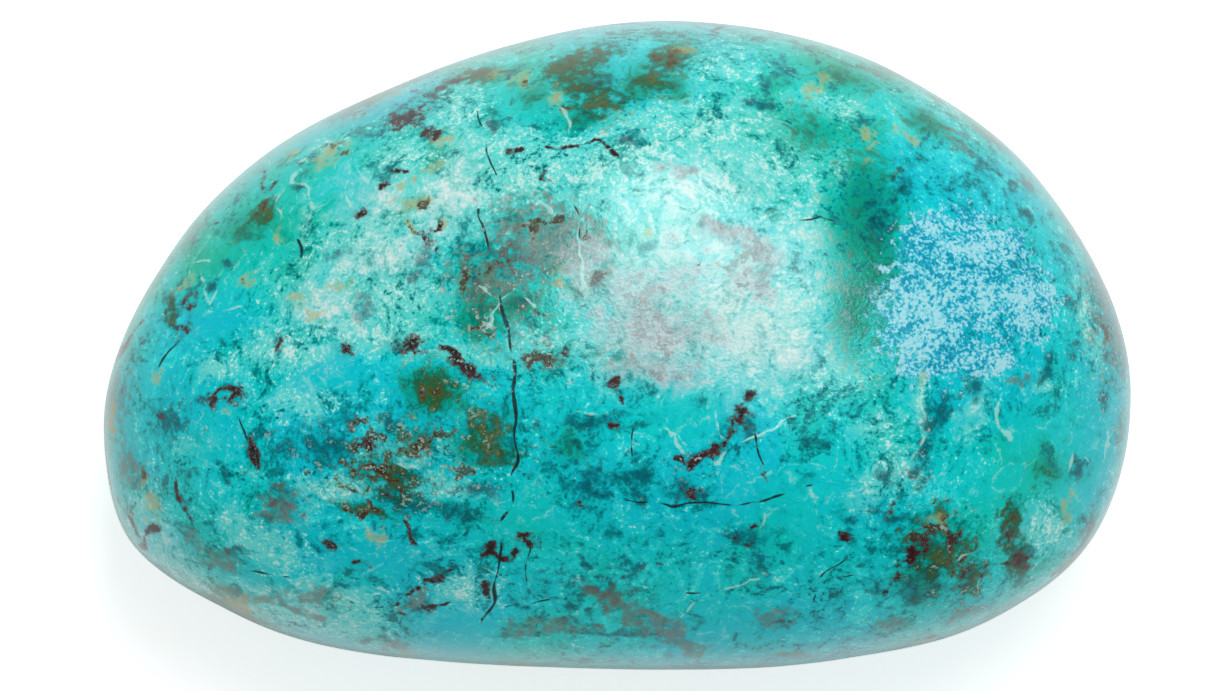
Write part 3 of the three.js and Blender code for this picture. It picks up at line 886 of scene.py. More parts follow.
@dataclass
class PebbleSurface:
    """The stone's finished mesh: an even ball of facets, finer along its marks, drawn out to the form.

    Sizes are in millimetres. A groove's depth is in half-widths of its crack.
    """

    form: PebbleForm
    minerals: MineralMap
    ball_levels: int = 6
    plain_edge: float = 0.5
    overlong: float = 1.25
    refinements: int = 4
    fine_margin: float = 0.03
    coarse_margin: float = 0.3
    probe: float = 1e-4
    steep: float = 0.9
    groove_depth: float = 0.9
    relief: dict[Mineral, float] = field(
        default_factory=lambda: {
            Mineral.OXIDE: -0.012,
            Mineral.RUST: -0.008,
            Mineral.VEIN: 0.01,
            Mineral.GRANULE: 0.015,
        }
    )
    relief_slope: float = 2.0
    waves: Ripples = Ripples(0.02, (2.5, 9.0), 5)

    def build(self, name: str) -> bpy.types.Object:
        """Makes the finished mesh with one surface attribute for each mineral.

        Args:
            name: the new piece's name.

        Returns:
            The piece, at the origin, with its place in its mesh.
        """
        ball = bmesh.new()
        bmesh.ops.create_icosphere(ball, subdivisions=self.ball_levels, radius=1.0)
        self.form.settle(self.directions(ball))
        self.minerals.lay_out()
        for cut in range(self.refinements):
            self.refine(ball, self.fine_margin + self.coarse_margin / 2**cut)
        directions = self.directions(ball)
        places = self.form.surface(directions)
        fields = self.minerals.depths(places)
        finished = self.carve(places, self.normals(directions), fields)
        for vert, place in zip(ball.verts, finished * MM):
            vert.co = place
        for face in ball.faces:
            face.smooth = True
        mesh = bpy.data.meshes.new(name)
        ball.to_mesh(mesh)
        ball.free()
        for mineral, values in fields.items():
            attribute = mesh.attributes.new(mineral.value, "FLOAT", "POINT")
            attribute.data.foreach_set("value", values.astype(np.float32))
        return placed_piece(name, mesh)

    def directions(self, ball: bmesh.types.BMesh) -> np.ndarray:
        """The direction from the stone's middle of each corner of the ball, spread to suit the long form."""
        return unit(np.array([vert.co for vert in ball.verts]) * np.array(self.form.even_stretch))

    def refine(self, ball: bmesh.types.BMesh, margin: float) -> None:
        """Cuts every edge that is too long for the marks near it, and puts the new corners back on the ball.

        Args:
            ball: the round mesh before it is drawn out.
            margin: how far past a mark's edge it is cut, wide at first so that no thin mark slips through.
        """
        ball.verts.index_update()
        places = self.form.surface(self.directions(ball))
        wanted = self.minerals.wanted_edge(places, self.plain_edge, margin)
        ends = np.array([[vert.index for vert in edge.verts] for edge in ball.edges])
        lengths = np.linalg.norm(places[ends[:, 0]] - places[ends[:, 1]], axis=1)
        needed = np.minimum(wanted[ends[:, 0]], wanted[ends[:, 1]])
        long_edges = [edge for edge, cut in zip(ball.edges, lengths > self.overlong * needed) if cut]
        bmesh.ops.subdivide_edges(ball, edges=long_edges, cuts=1, use_grid_fill=True)
        bmesh.ops.triangulate(ball, faces=[face for face in ball.faces if len(face.verts) > 3])
        for vert in ball.verts:
            vert.co.normalize()

    def normals(self, directions: np.ndarray) -> np.ndarray:
        """The way the smooth form faces, from small steps round each direction.

        Args:
            directions: unit vectors from the middle, one a row.

        Returns:
            One outward unit vector for each direction.
        """
        helper = np.where(np.abs(directions[:, 2:3]) < self.steep, (0.0, 0.0, 1.0), (1.0, 0.0, 0.0))
        first = unit(np.cross(directions, helper))
        slopes = []
        for side in (first, np.cross(directions, first)):
            ahead = self.form.surface(unit(directions + side * self.probe))
            slopes.append(ahead - self.form.surface(unit(directions - side * self.probe)))
        normal = unit(np.cross(*slopes))
        inward = np.sum(normal * directions, axis=1) < 0
        normal[inward] *= -1
        return normal

    def carve(
        self, places: np.ndarray, normals: np.ndarray, fields: dict[Mineral, np.ndarray]
    ) -> np.ndarray:
        """Cuts the cracks, and gives the stone its slight waves and the faint relief of its minerals.

        Args:
            places: places on the smooth form.
            normals: the outward unit vector at each place.
            fields: each mineral's value at each place.

        Returns:
            The finished places.
        """
        height = self.waves.at(places)
        for mineral, rise in self.relief.items():
            height += rise * np.clip(fields[mineral] * self.relief_slope, 0, 1)
        deepest = np.zeros(len(places))
        moved = self.minerals.wander.shift(places)
        for half_width, line in self.minerals.lines[Mineral.CRACK]:
            near = self.minerals.within(moved, line.min(axis=0) - half_width, line.max(axis=0) + half_width)
            width = np.full(len(near), max(half_width, THINNEST))
            depth = np.clip(self.minerals.line_depth(moved[near], line, width), 0, 1)
            deepest[near] = np.maximum(deepest[near], depth * half_width * self.groove_depth)
        standing = np.clip(places[:, 2] / self.form.rest_wear, 0, 1)
        return places + normals * (height * standing - deepest)[:, None]


def placed_piece(name: str, mesh: bpy.types.Mesh) -> bpy.types.Object:
    """Puts a finished mesh into the scene.

    Args:
        name: the new piece's name.
        mesh: its mesh.

    Returns:
        The piece, at the origin.
    """
    piece = bpy.data.objects.new(name, mesh)
    bpy.context.scene.collection.objects.link(piece)
    return piece


Socket = bpy.types.NodeSocket
Color = tuple[float, float, float, float]
Feed = Socket | float | Color
Feeds = dict[int | str, Feed]
Tints = tuple[tuple[float, Color], ...]


# A paint chip's steps, and the curve from its steps to linear light: a straight toe, and then a power.
CHIP_STEPS = 255
TOE_END = 0.04045
TOE_DIVISOR = 12.92
CURVE_OFFSET = 0.055
CURVE_POWER = 2.4
# A colour mix's sockets: the colour under, the colour over and the colour made.
MIX_UNDER, MIX_OVER, MIX_MADE = 6, 7, 2


def lit(step: float) -> float:
    """The linear light of a paint chip's step.

    Args:
        step: the step, from 0 to 1.

    Returns:
        The light, from 0 to 1.
    """
    if step <= TOE_END:
        return step / TOE_DIVISOR
    return ((step + CURVE_OFFSET) / (1 + CURVE_OFFSET)) ** CURVE_POWER


def chip(red: int, green: int, blue: int) -> Color:
    """The linear colour of a paint chip.

    Args:
        red: how much red, in steps of 0 to 255.
        green: how much green.
        blue: how much blue.

    Returns:
        The colour, with nothing of it clear.
    """
    return (*(lit(step / CHIP_STEPS) for step in (red, green, blue)), 1.0)


class Wiring:
    """Places and joins the nodes of one material or node group."""

    def __init__(self, tree: bpy.types.NodeTree) -> None:
        """Starts on an empty tree."""
        self.tree = tree
        self.tree.nodes.clear()

    def node(self, kind: str, feeds: Feeds | None = None, **settings: object) -> bpy.types.Node:
        """Adds a node.

        Args:
            kind: what Blender calls it, after the word Shader.
            feeds: what goes into its sockets, by their numbers or names.
            settings: its own options.

        Returns:
            The node.
        """
        made = self.tree.nodes.new("Shader" + kind)
        for name, value in settings.items():
            setattr(made, name, value)
        for key, source in (feeds or {}).items():
            self.feed(made.inputs[key], source)
        return made

    def feed(self, target: Socket, source: Feed) -> None:
        """Joins a socket to another, or sets its value.

        Args:
            target: the socket that takes it.
            source: the other socket, or the value.
        """
        if isinstance(source, Socket):
            self.tree.links.new(source, target)
        else:
            target.default_value = source

    def math(self, operation: str, first: Feed, second: Feed) -> Socket:
        """One sum on two values."""
        return self.node("NodeMath", {0: first, 1: second}, operation=operation).outputs[0]

    def times(self, first: Feed, second: Feed) -> Socket:
        """One value times another."""
        return self.math("MULTIPLY", first, second)

    def without(self, value: Feed) -> Socket:
        """What a value leaves of 1."""
        return self.math("SUBTRACT", 1.0, value)

    def total(self, *terms: tuple[Feed, float]) -> Socket:
        """The sum of values, each times its own weight.

        Args:
            terms: the values and their weights.

        Returns:
            The sum.
        """
        result: Feed = 0.0
        for value, weight in terms:
            feeds = {0: value, 1: weight, 2: result}
            result = self.node("NodeMath", feeds, operation="MULTIPLY_ADD").outputs[0]
        return result

    def rise(self, value: Feed, low: Feed, high: Feed) -> Socket:
        """A smooth step from 0 at the low value to 1 at the high one."""
        feeds = {"Value": value, "From Min": low, "From Max": high}
        return self.node("NodeMapRange", feeds, interpolation_type="SMOOTHSTEP").outputs["Result"]

    def blend(self, share: Feed, under: Feed, over: Feed) -> Socket:
        """One colour laid over another by a share."""
        feeds = {0: share, MIX_UNDER: under, MIX_OVER: over}
        return self.node("NodeMix", feeds, data_type="RGBA").outputs[MIX_MADE]

    def noise(self, place: Socket, scale: Feed, detail: float, roughness: float = 0.5) -> bpy.types.Node:
        """Cloudy noise at a number of lumps for each millimetre."""
        feeds = {"Vector": place, "Scale": scale, "Detail": detail, "Roughness": roughness}
        return self.node("NodeTexNoise", feeds)

    def cells(self, place: Socket, scale: Feed, feature: str) -> bpy.types.Node:
        """Cell noise at a number of cells for each millimetre."""
        return self.node("NodeTexVoronoi", {"Vector": place, "Scale": scale}, feature=feature)

    def stirred(self, place: Socket, scale: float, reach: float) -> Socket:
        """Places pushed about by noise.

        Args:
            place: the places.
            scale: the noise's lumps for each millimetre.
            reach: how far the noise pushes, in millimetres.

        Returns:
            The places once moved.
        """
        lumps = self.noise(place, scale, 2.0).outputs["Color"]
        push = self.node("NodeVectorMath", {0: lumps, 1: (0.5,) * 3}, operation="SUBTRACT").outputs[0]
        feeds = {0: push, 1: (reach,) * 3, 2: place}
        return self.node("NodeVectorMath", feeds, operation="MULTIPLY_ADD").outputs[0]

    def shades(self, value: Feed, tints: Tints) -> Socket:
        """A ramp of colours along a value.

        Args:
            value: the value.
            tints: the positions and colours of the ramp's stops.

        Returns:
            The colour at the value.
        """
        made = self.node("NodeValToRGB", {0: value})
        stops = made.color_ramp.elements
        while len(stops) < len(tints):
            stops.new(0.5)
        for stop, (position, color) in zip(stops, tints):
            stop.position = position
            stop.color = color
        return made.outputs[0]


class Effect:
    """A shader node group with named inputs and outputs, placed with its own values each time."""

    def __init__(self, name: str, inputs: dict[str, float | None], outputs: tuple[str, ...]) -> None:
        """Makes an empty group with its sockets.

        Args:
            name: the group's name.
            inputs: its inputs and their starting values. One without a value takes a place.
            outputs: its outputs, which give values.
        """
        self.group = bpy.data.node_groups.new(name, "ShaderNodeTree")
        self.wiring = Wiring(self.group)
        sockets = self.group.interface
        for label, value in inputs.items():
            kind = "NodeSocketVector" if value is None else "NodeSocketFloat"
            socket = sockets.new_socket(name=label, in_out="INPUT", socket_type=kind)
            if value is not None:
                socket.default_value = value
        for label in outputs:
            sockets.new_socket(name=label, in_out="OUTPUT", socket_type="NodeSocketFloat")
        self.inputs = self.group.nodes.new("NodeGroupInput").outputs
        self.outputs = self.group.nodes.new("NodeGroupOutput").inputs


@dataclass(frozen=True)
class RaggedMark:
    """The mask of a mark: a soft stain with a crisp core, both torn by noise, and its depth once torn."""

    middle: float = 0.5
    grain_weight: float = 0.8
    grain_offset: float = -0.4
    core_span: Pair = (-0.15, 0.2)

    def group(self) -> bpy.types.NodeTree:
        """Builds the node group.

        Returns:
            The group.
        """
        values = {"Field": 0.0, "Tear": 0.5, "Grain": 0.5, "Raggedness": 3.0}
        values |= {"Fill": 0.0, "Softness": 0.2, "Core": 0.5, "Strength": 1.0}
        effect = Effect("Ragged mark", values, ("Mask", "Depth"))
        wire = effect.wiring
        ports = list(effect.inputs)[: len(values)]
        field_in, tear, grain, raggedness, fill, softness, core_share, strength = ports
        torn = wire.times(wire.math("SUBTRACT", tear, self.middle), raggedness)
        depth = wire.math("ADD", wire.math("ADD", field_in, fill), torn)
        stain = wire.rise(depth, wire.times(softness, -1.0), softness)
        grained = wire.total((grain, self.grain_weight), (depth, 1.0), (1.0, self.grain_offset))
        core = wire.rise(grained, *self.core_span)
        mask = wire.math("ADD", stain, wire.times(wire.math("SUBTRACT", core, stain), core_share))
        wire.feed(effect.outputs["Mask"], wire.times(mask, strength))
        wire.feed(effect.outputs["Depth"], depth)
        return effect.group


@dataclass(frozen=True)
class ThinNetwork:
    """Thin angular lines between cells that come and go."""

    gate_softness: float = 0.1

    def group(self) -> bpy.types.NodeTree:
        """Builds the node group.

        Returns:
            The group.
        """
        values = {"Place": None, "Scale": 0.5, "Width": 0.03, "Gate": 0.5, "Gate noise": 0.5}
        effect = Effect("Thin network", values, ("Line",))
        wire = effect.wiring
        place, scale, width, gate, gate_noise = list(effect.inputs)[: len(values)]
        edge = wire.cells(place, scale, "DISTANCE_TO_EDGE").outputs["Distance"]
        line = wire.without(wire.rise(edge, 0.0, wire.times(width, scale)))
        shown = wire.rise(gate_noise, gate, wire.math("ADD", gate, self.gate_softness))
        wire.feed(effect.outputs["Line"], wire.times(line, shown))
        return effect.group


@dataclass(frozen=True)
class Scratches:
    """Fine straight scratches across one another: their turns in degrees, and how they are drawn out."""

    turns: tuple[Point, ...] = ((0, 0, 20), (10, 0, 75))
    stretch: Point = (0.9, 16.0, 9.0)
    gate_softness: float = 0.06

    def group(self) -> bpy.types.NodeTree:
        """Builds the node group.

        Returns:
            The group.
        """
        effect = Effect("Scratches", {"Place": None, "Scale": 1.0, "Gate": 0.62}, ("Scratch",))
        wire = effect.wiring
        gate = effect.inputs["Gate"]
        result: Feed = 0.0
        for turn in self.turns:
            feeds = {"Vector": effect.inputs["Place"], "Rotation": [math.radians(angle) for angle in turn]}
            turned = wire.node("NodeMapping", feeds | {"Scale": self.stretch}).outputs[0]
            grain = wire.noise(turned, effect.inputs["Scale"], 1.0).outputs["Fac"]
            line = wire.rise(grain, gate, wire.math("ADD", gate, self.gate_softness))
            result = wire.math("MAXIMUM", result, line)
        wire.feed(effect.outputs["Scratch"], result)
        return effect.group


class Flow(Enum):
    """Where a noise is read: at the place itself, at the place swirled about, or at that crumbled too."""

    STILL = "still"
    SWIRLED = "swirled"
    CRUMBLED = "crumbled"


@dataclass(frozen=True)
class Lumps:
    """A cloudy noise: where it is read, its lumps for each millimetre, its detail and its roughness."""

    flow: Flow
    scale: float
    detail: float
    roughness: float = 0.5


class Noise(Enum):
    """The noises that the finish is mixed from."""

    BROAD = Lumps(Flow.STILL, 0.16, 1.0)
    CLOUDS = Lumps(Flow.SWIRLED, 0.55, 5.0, 0.6)
    CRUMBS = Lumps(Flow.CRUMBLED, 1.9, 5.0, 0.66)
    TEAR = Lumps(Flow.STILL, 2.2, 5.0, 0.66)
    GRIT = Lumps(Flow.STILL, 6.5, 2.0, 0.6)
    DUST = Lumps(Flow.STILL, 8.0, 3.0, 0.7)


Mix = tuple[tuple[str, float], ...]


def mix(**weights: float) -> Mix:
    """A sum of noises and mineral fields, each times its weight. Even adds a plain amount."""
    return tuple(weights.items())


@dataclass(frozen=True)
class Area:
    """Where a mix rises through a span of values, or falls through it."""

    mix: Mix
    low: float
    high: float
    falling: bool = False


@dataclass(frozen=True)
class Layer:
    """A tint laid over an area, or over the part of it inside another, and the most that it hides there.

    A layer with no tint of its own is given one as it is laid.
    """

    tint: Color | None
    share: float
    area: Area
    inside: Area | None = None


@dataclass(frozen=True)
class MarkLook:
    """How one mineral's marks look: their tints, and how torn, full, soft and strong they are.

    Tints run from edge to middle: 0 is well outside the mark, 0.4 on its edge and 0.8 on its middle line.
    """

    mineral: Mineral
    tints: Tints
    raggedness: float = 6.0
    fill: float = 0.0
    softness: float = 0.5
    core: float = 0.4
    strength: float = 0.85
    coarse: bool = False


CHALK_WHITE = chip(206, 244, 236)
WHITER = mix(chalk=1.0, crumbs=6.0, grit=5.0, even=-5.5)
SPARKLE = mix(grit=1.0, crumbs=0.9, clast=0.15, chalk=0.05)
# Where the painted shade of tiny pits lies.
PITTED = mix(grit=0.9, crumbs=0.9, clast=0.3)
DEEP_TEAL = chip(0, 92, 104)
SHADE = mix(clouds=0.5, crumbs=0.8, grit=0.3, clast=0.14, even=0.08)
CRUST = mix(chalk=1.0, clouds=4.0, crumbs=4.0, grit=1.5, clast=1.0, even=-5.25)
SPECKLE = mix(dust=0.8, tear=0.9, clouds=0.5)
FROSTING = mix(grit=0.8, dust=0.8, tear=1.6)
CELLS = Area(mix(cell=1.0, clouds=4.0, even=-2.0), -0.3, 0.4)
# Where the pink-brown speckle and its painted highlight veil lie.
BLUSHED = Area(mix(blush=1.0, clouds=4.0, crumbs=3.0, even=-3.5), -0.8, 0.7)
FROSTED = Area(mix(frost=1.0, clouds=4.0, even=-2.0), -0.8, 0.6)


@dataclass(frozen=True)
class PolishedChrysocolla:
    """The stone's finish: turquoise ground with mint crusts, its minerals' colours, and a tumbled polish.

    The ground leans from emerald green through turquoise to sky blue. Scales are in lumps or cells for each
    millimetre. Swirl and crumble are each a scale and a reach in millimetres.
    """

    swirl: Pair = (0.45, 2.0)
    crumble: Pair = (2.4, 0.5)
    cell_scale: float = 0.62
    round_scale: float = 6.0
    ground_lean: Mix = mix(blue=0.1, broad=0.8, clouds=0.5, clast=0.16, even=-0.05)
    ground_tints: Tints = (
        (0.3, chip(0, 190, 156)),
        (0.42, chip(0, 206, 188)),
        (0.58, chip(0, 211, 209)),
        (0.8, chip(0, 202, 216)),
    )
    shadows: Layer = Layer(chip(0, 122, 128), 0.9, Area(SHADE, 0.78, 0.94, falling=True))
    lights: Layer = Layer(chip(44, 236, 232), 0.8, Area(SHADE, 0.97, 1.1))
    crust: Layer = Layer(chip(112, 226, 218), 0.84, Area(CRUST, -1.1, 0.8))
    crust_crumbs: Layer = Layer(CHALK_WHITE, 0.66, Area(WHITER, 0.4, 1.7))
    crust_gaps: Layer = Layer(None, 0.62, Area(mix(crumbs=1.0, grit=0.6), 0.66, 0.74, falling=True))
    specks: Layer = Layer(CHALK_WHITE, 0.75, Area(SPARKLE, 1.14, 1.23))
    # Dark teal specks, a painted shade of tiny pits that the mesh does not have.
    pits: Layer = Layer(DEEP_TEAL, 0.72, Area(PITTED, 0.76, 0.84, falling=True))
    wisp_level: float = 0.53
    wisp_width: float = 0.009
    wisp_gate: Pair = (0.5, 0.58)
    wisp_share: float = 0.5
    clear_cells: Layer = Layer(None, 0.74, CELLS)
    wall_width: float = 0.08
    wall_gate: float = 0.48
    wall_share: float = 0.55
    mint: Color = chip(150, 232, 220)
    fine_tear: Mix = mix(tear=0.8, crumbs=0.2)
    wide_tear: Mix = mix(clouds=0.4, crumbs=0.6)
    tint_drift: Mix = mix(depth=0.4, crumbs=0.9, grit=0.7, even=-0.4)
    granules: Layer = Layer(None, 0.92, Area(mix(granule=1.0, fine=3.0, even=-1.5), -0.15, 0.15))
    granule_mix: Mix = mix(rounds=-0.3, grit=0.9, tear=0.7, dust=0.6, clouds=0.8, granule=0.08, even=-0.94)
    granule_tints: Tints = (
        (0.22, chip(0, 144, 180)),
        (0.37, chip(6, 174, 204)),
        (0.43, chip(108, 210, 228)),
        (0.6, chip(176, 230, 240)),
    )
    speckle: tuple[Layer, ...] = (
        # A pale grey veil, a painted highlight, then white specks and pink-brown grains in it.
        Layer(chip(178, 190, 196), 0.68, BLUSHED),
        Layer(CHALK_WHITE, 0.4, Area(SPECKLE, 0.9, 1.06, falling=True), BLUSHED),
        Layer(chip(120, 98, 98), 0.5, Area(SPECKLE, 1.08, 1.3), BLUSHED),
    )
    frost: tuple[Layer, ...] = (
        Layer(DEEP_TEAL, 0.5, Area(FROSTING, 1.26, 1.4, falling=True), FROSTED),
        Layer(chip(196, 242, 236), 0.5, Area(FROSTING, 1.76, 1.9), FROSTED),
    )
    looks_under: tuple[MarkLook, ...] = (
        MarkLook(
            Mineral.MALACHITE,
            ((0.3, chip(0, 172, 132)), (0.8, chip(0, 96, 68))),
            fill=0.15, softness=0.8, coarse=True,
        ),
        MarkLook(
            Mineral.DEEP,
            ((0.25, chip(0, 140, 146)), (0.55, chip(0, 102, 114)), (0.9, chip(0, 62, 76))),
            softness=0.7, core=0.25,
        ),
        # The whitish bloom, partly a pale film and partly a painted highlight and a painted edge reflection.
        MarkLook(
            Mineral.HAZE,
            ((0.3, chip(150, 228, 224)), (0.55, chip(190, 232, 230)), (0.85, chip(236, 244, 240))),
            raggedness=4.0, softness=0.9, core=0.0, strength=0.72, coarse=True,
        ),
        MarkLook(
            Mineral.SMOKE,
            ((0.3, chip(60, 140, 132)), (0.6, chip(100, 98, 84)), (0.85, chip(124, 88, 74))),
            raggedness=7.0, softness=0.9, core=0.3, strength=0.66,
        ),
        MarkLook(
            Mineral.OLIVE,
            (
                (0.22, chip(0, 128, 92)),
                (0.42, chip(8, 90, 48)),
                (0.62, chip(46, 80, 20)),
                (0.85, chip(84, 90, 28)),
            ),
            fill=0.25, softness=1.0, core=0.25, strength=0.94,
        ),
    )
    looks_over: tuple[MarkLook, ...] = (
        MarkLook(
            Mineral.OCHRE,
            ((0.3, chip(146, 202, 150)), (0.75, chip(188, 168, 84))),
            raggedness=8.0, softness=0.8, strength=0.58,
        ),
        MarkLook(
            Mineral.RUST,
            ((0.2, chip(110, 140, 92)), (0.42, chip(100, 84, 44)), (0.66, chip(66, 40, 22))),
            raggedness=9.0, fill=-0.1, core=0.6,
        ),
        MarkLook(
            Mineral.VEIN,
            ((0.0, chip(180, 238, 228)),),
            raggedness=5.0, fill=-0.1, softness=0.6, core=0.5, strength=0.66,
        ),
        MarkLook(
            Mineral.OXIDE,
            ((0.0, chip(0, 88, 94)),),
            raggedness=7.0, fill=0.4, softness=1.0, strength=0.6,
        ),
        MarkLook(
            Mineral.OXIDE,
            ((0.36, chip(92, 54, 48)), (0.52, chip(82, 26, 24)), (0.9, chip(34, 8, 12))),
            raggedness=8.0, core=0.6, strength=0.94,
        ),
        MarkLook(
            Mineral.CRACK,
            ((0.4, chip(0, 60, 64)), (0.6, chip(0, 20, 22))),
            raggedness=1.6, fill=0.14, softness=0.34, core=0.3, strength=0.94,
        ),
    )
    refraction: float = 1.5
    glint: Color = (0.6, 1.0, 1.0, 1.0)
    polish: float = 0.18
    chalk_dulled: Area = Area(CRUST, 0.95, 1.2)
    chalk_roughness: float = 0.1
    granule_roughness: float = 0.1
    scratch_roughness: float = 0.06
    crack_roughness: float = 0.4
    scratch_scale: float = 1.1
    scratch_gate: float = 0.64
    rim_start: float = 0.3
    rim_full: float = 0.8
    rim_refraction: float = 1.8
    rim_polish: float = 0.25
    grain_strength: float = 0.5
    grain_height: float = 0.00003

    def material(self) -> bpy.types.Material:
        """Builds the finish.

        Returns:
            The material.
        """
        made, wire, shader = shaded_material("polished_chrysocolla")
        ground = ChrysocollaGround(self, wire)
        marks = ChrysocollaMarks(self, wire, ground)
        slant = wire.node("NodeLayerWeight").outputs["Facing"]
        grain = ground.sources["grit"]
        bump = {"Strength": self.grain_strength, "Distance": self.grain_height, "Height": grain}
        feeds = {
            "IOR": self.refraction,
            "Specular Tint": self.glint,
            "Base Color": marks.over(ground.color()),
            "Roughness": marks.roughness(),
            "Coat Weight": wire.rise(slant, self.rim_start, self.rim_full),
            "Coat IOR": self.rim_refraction,
            "Coat Roughness": self.rim_polish,
            "Normal": wire.node("NodeBump", bump).outputs[0],
        }
        for name, source in feeds.items():
            wire.feed(shader.inputs[name], source)
        return made


def shaded_material(name: str) -> tuple[bpy.types.Material, Wiring, bpy.types.Node]:
    """Starts a material with one shader.

    Args:
        name: the material's name.

    Returns:
        The material, its wiring and its shader.
    """
    made = bpy.data.materials.new(name)
    made.use_nodes = True
    wire = Wiring(made.node_tree)
    shader = wire.node("NodeBsdfPrincipled")
    wire.node("NodeOutputMaterial", {"Surface": shader.outputs[0]})
    return made, wire, shader


class ChrysocollaGround:
    """The stone's ground colour, and the noises and fields that everything on the stone is mixed from."""

    def __init__(self, finish: PolishedChrysocolla, wire: Wiring) -> None:
        """Lays down the noises at each of the stone's own scales, and reads the minerals' fields.

        Args:
            finish: the finish.
            wire: the wiring of its material.
        """
        self.finish = finish
        self.wire = wire
        own = wire.node("NodeTexCoord").outputs["Object"]
        self.place = wire.node("NodeVectorMath", {0: own, "Scale": 1 / MM}, operation="SCALE").outputs[0]
        swirled = wire.stirred(self.place, *finish.swirl)
        self.crumbled = wire.stirred(swirled, *finish.crumble)
        flows = {Flow.STILL: self.place, Flow.SWIRLED: swirled, Flow.CRUMBLED: self.crumbled}
        self.sources: dict[str, Feed] = {"even": 1.0}
        for noise in Noise:
            lumps = noise.value
            made = wire.noise(flows[lumps.flow], lumps.scale, lumps.detail, lumps.roughness)
            self.sources[noise.name.lower()] = made.outputs["Fac"]
        self.sources["clast"] = wire.cells(self.crumbled, finish.cell_scale, "F1").outputs["Color"]
        self.sources["rounds"] = wire.cells(self.place, finish.round_scale, "F1").outputs["Distance"]
        for mineral in Mineral:
            made = wire.node("NodeAttribute", attribute_name=mineral.value)
            self.sources[mineral.value] = made.outputs["Fac"]
        self.mixes: dict[Mix, Socket] = {}
        self.masks: dict[Area, Socket] = {}
        self.sources["fine"] = self.mixed(finish.fine_tear)
        self.sources["wide"] = self.mixed(finish.wide_tear)

    def mixed(self, parts: Mix) -> Socket:
        """The value of a mix, built once.

        Args:
            parts: the mix.

        Returns:
            Its value.
        """
        if parts not in self.mixes:
            self.mixes[parts] = self.wire.total(*((self.sources[name], weight) for name, weight in parts))
        return self.mixes[parts]

    def mask(self, area: Area) -> Socket:
        """The mask of an area, built once.

        Args:
            area: the area.

        Returns:
            A value of 1 inside it and 0 outside.
        """
        if area not in self.masks:
            risen = self.wire.rise(self.mixed(area.mix), area.low, area.high)
            self.masks[area] = self.wire.without(risen) if area.falling else risen
        return self.masks[area]

    def laid(self, layer: Layer, under: Socket, tint: Feed | None = None) -> Socket:
        """Lays a layer.

        Args:
            layer: the layer.
            under: the colour under it.
            tint: its colour, where it has none of its own.

        Returns:
            The colour with the layer over it.
        """
        mask = self.mask(layer.area)
        if layer.inside:
            mask = self.wire.times(mask, self.mask(layer.inside))
        return self.wire.blend(self.wire.times(mask, layer.share), under, tint or layer.tint)

    def color(self) -> Socket:
        """The ground, from green to blue, with its shades, crusts, wisps, specks and cells.

        Returns:
            Its colour.
        """
        finish = self.finish
        plain = self.wire.shades(self.mixed(finish.ground_lean), finish.ground_tints)
        shaded = self.laid(finish.lights, self.laid(finish.shadows, plain))
        crusted = self.laid(finish.crust_crumbs, self.laid(finish.crust, shaded))
        color = self.wisps(self.laid(finish.crust_gaps, crusted, shaded))
        # Then white specks, and dark specks of painted pit shade.
        color = self.laid(finish.pits, self.laid(finish.specks, color))
        return self.cell_walls(self.laid(finish.clear_cells, color, plain))

    def cell_walls(self, color: Socket) -> Socket:
        """Draws the thin pale walls of the clear cells.

        Args:
            color: the colour under them.

        Returns:
            The colour with the walls over it.
        """
        wire = self.wire
        feeds = {"Place": self.crumbled, "Scale": self.finish.cell_scale, "Width": self.finish.wall_width}
        feeds |= {"Gate": self.finish.wall_gate, "Gate noise": self.sources["crumbs"]}
        walls = wire.node("NodeGroup", feeds, node_tree=ThinNetwork().group()).outputs["Line"]
        shown = wire.times(walls, self.mask(CELLS))
        return wire.blend(wire.times(shown, self.finish.wall_share), color, self.finish.mint)

    def wisps(self, color: Socket) -> Socket:
        """Draws hair-thin pale wisps that wander through the ground.

        Args:
            color: the colour under them.

        Returns:
            The colour with the wisps over it.
        """
        wire = self.wire
        level = wire.math("SUBTRACT", self.sources["clouds"], self.finish.wisp_level)
        level = wire.math("ABSOLUTE", level, 0.0)
        line = wire.without(wire.rise(level, 0.0, self.finish.wisp_width))
        shown = wire.times(line, wire.rise(self.sources["crumbs"], *self.finish.wisp_gate))
        return wire.blend(wire.times(shown, self.finish.wisp_share), color, self.finish.mint)


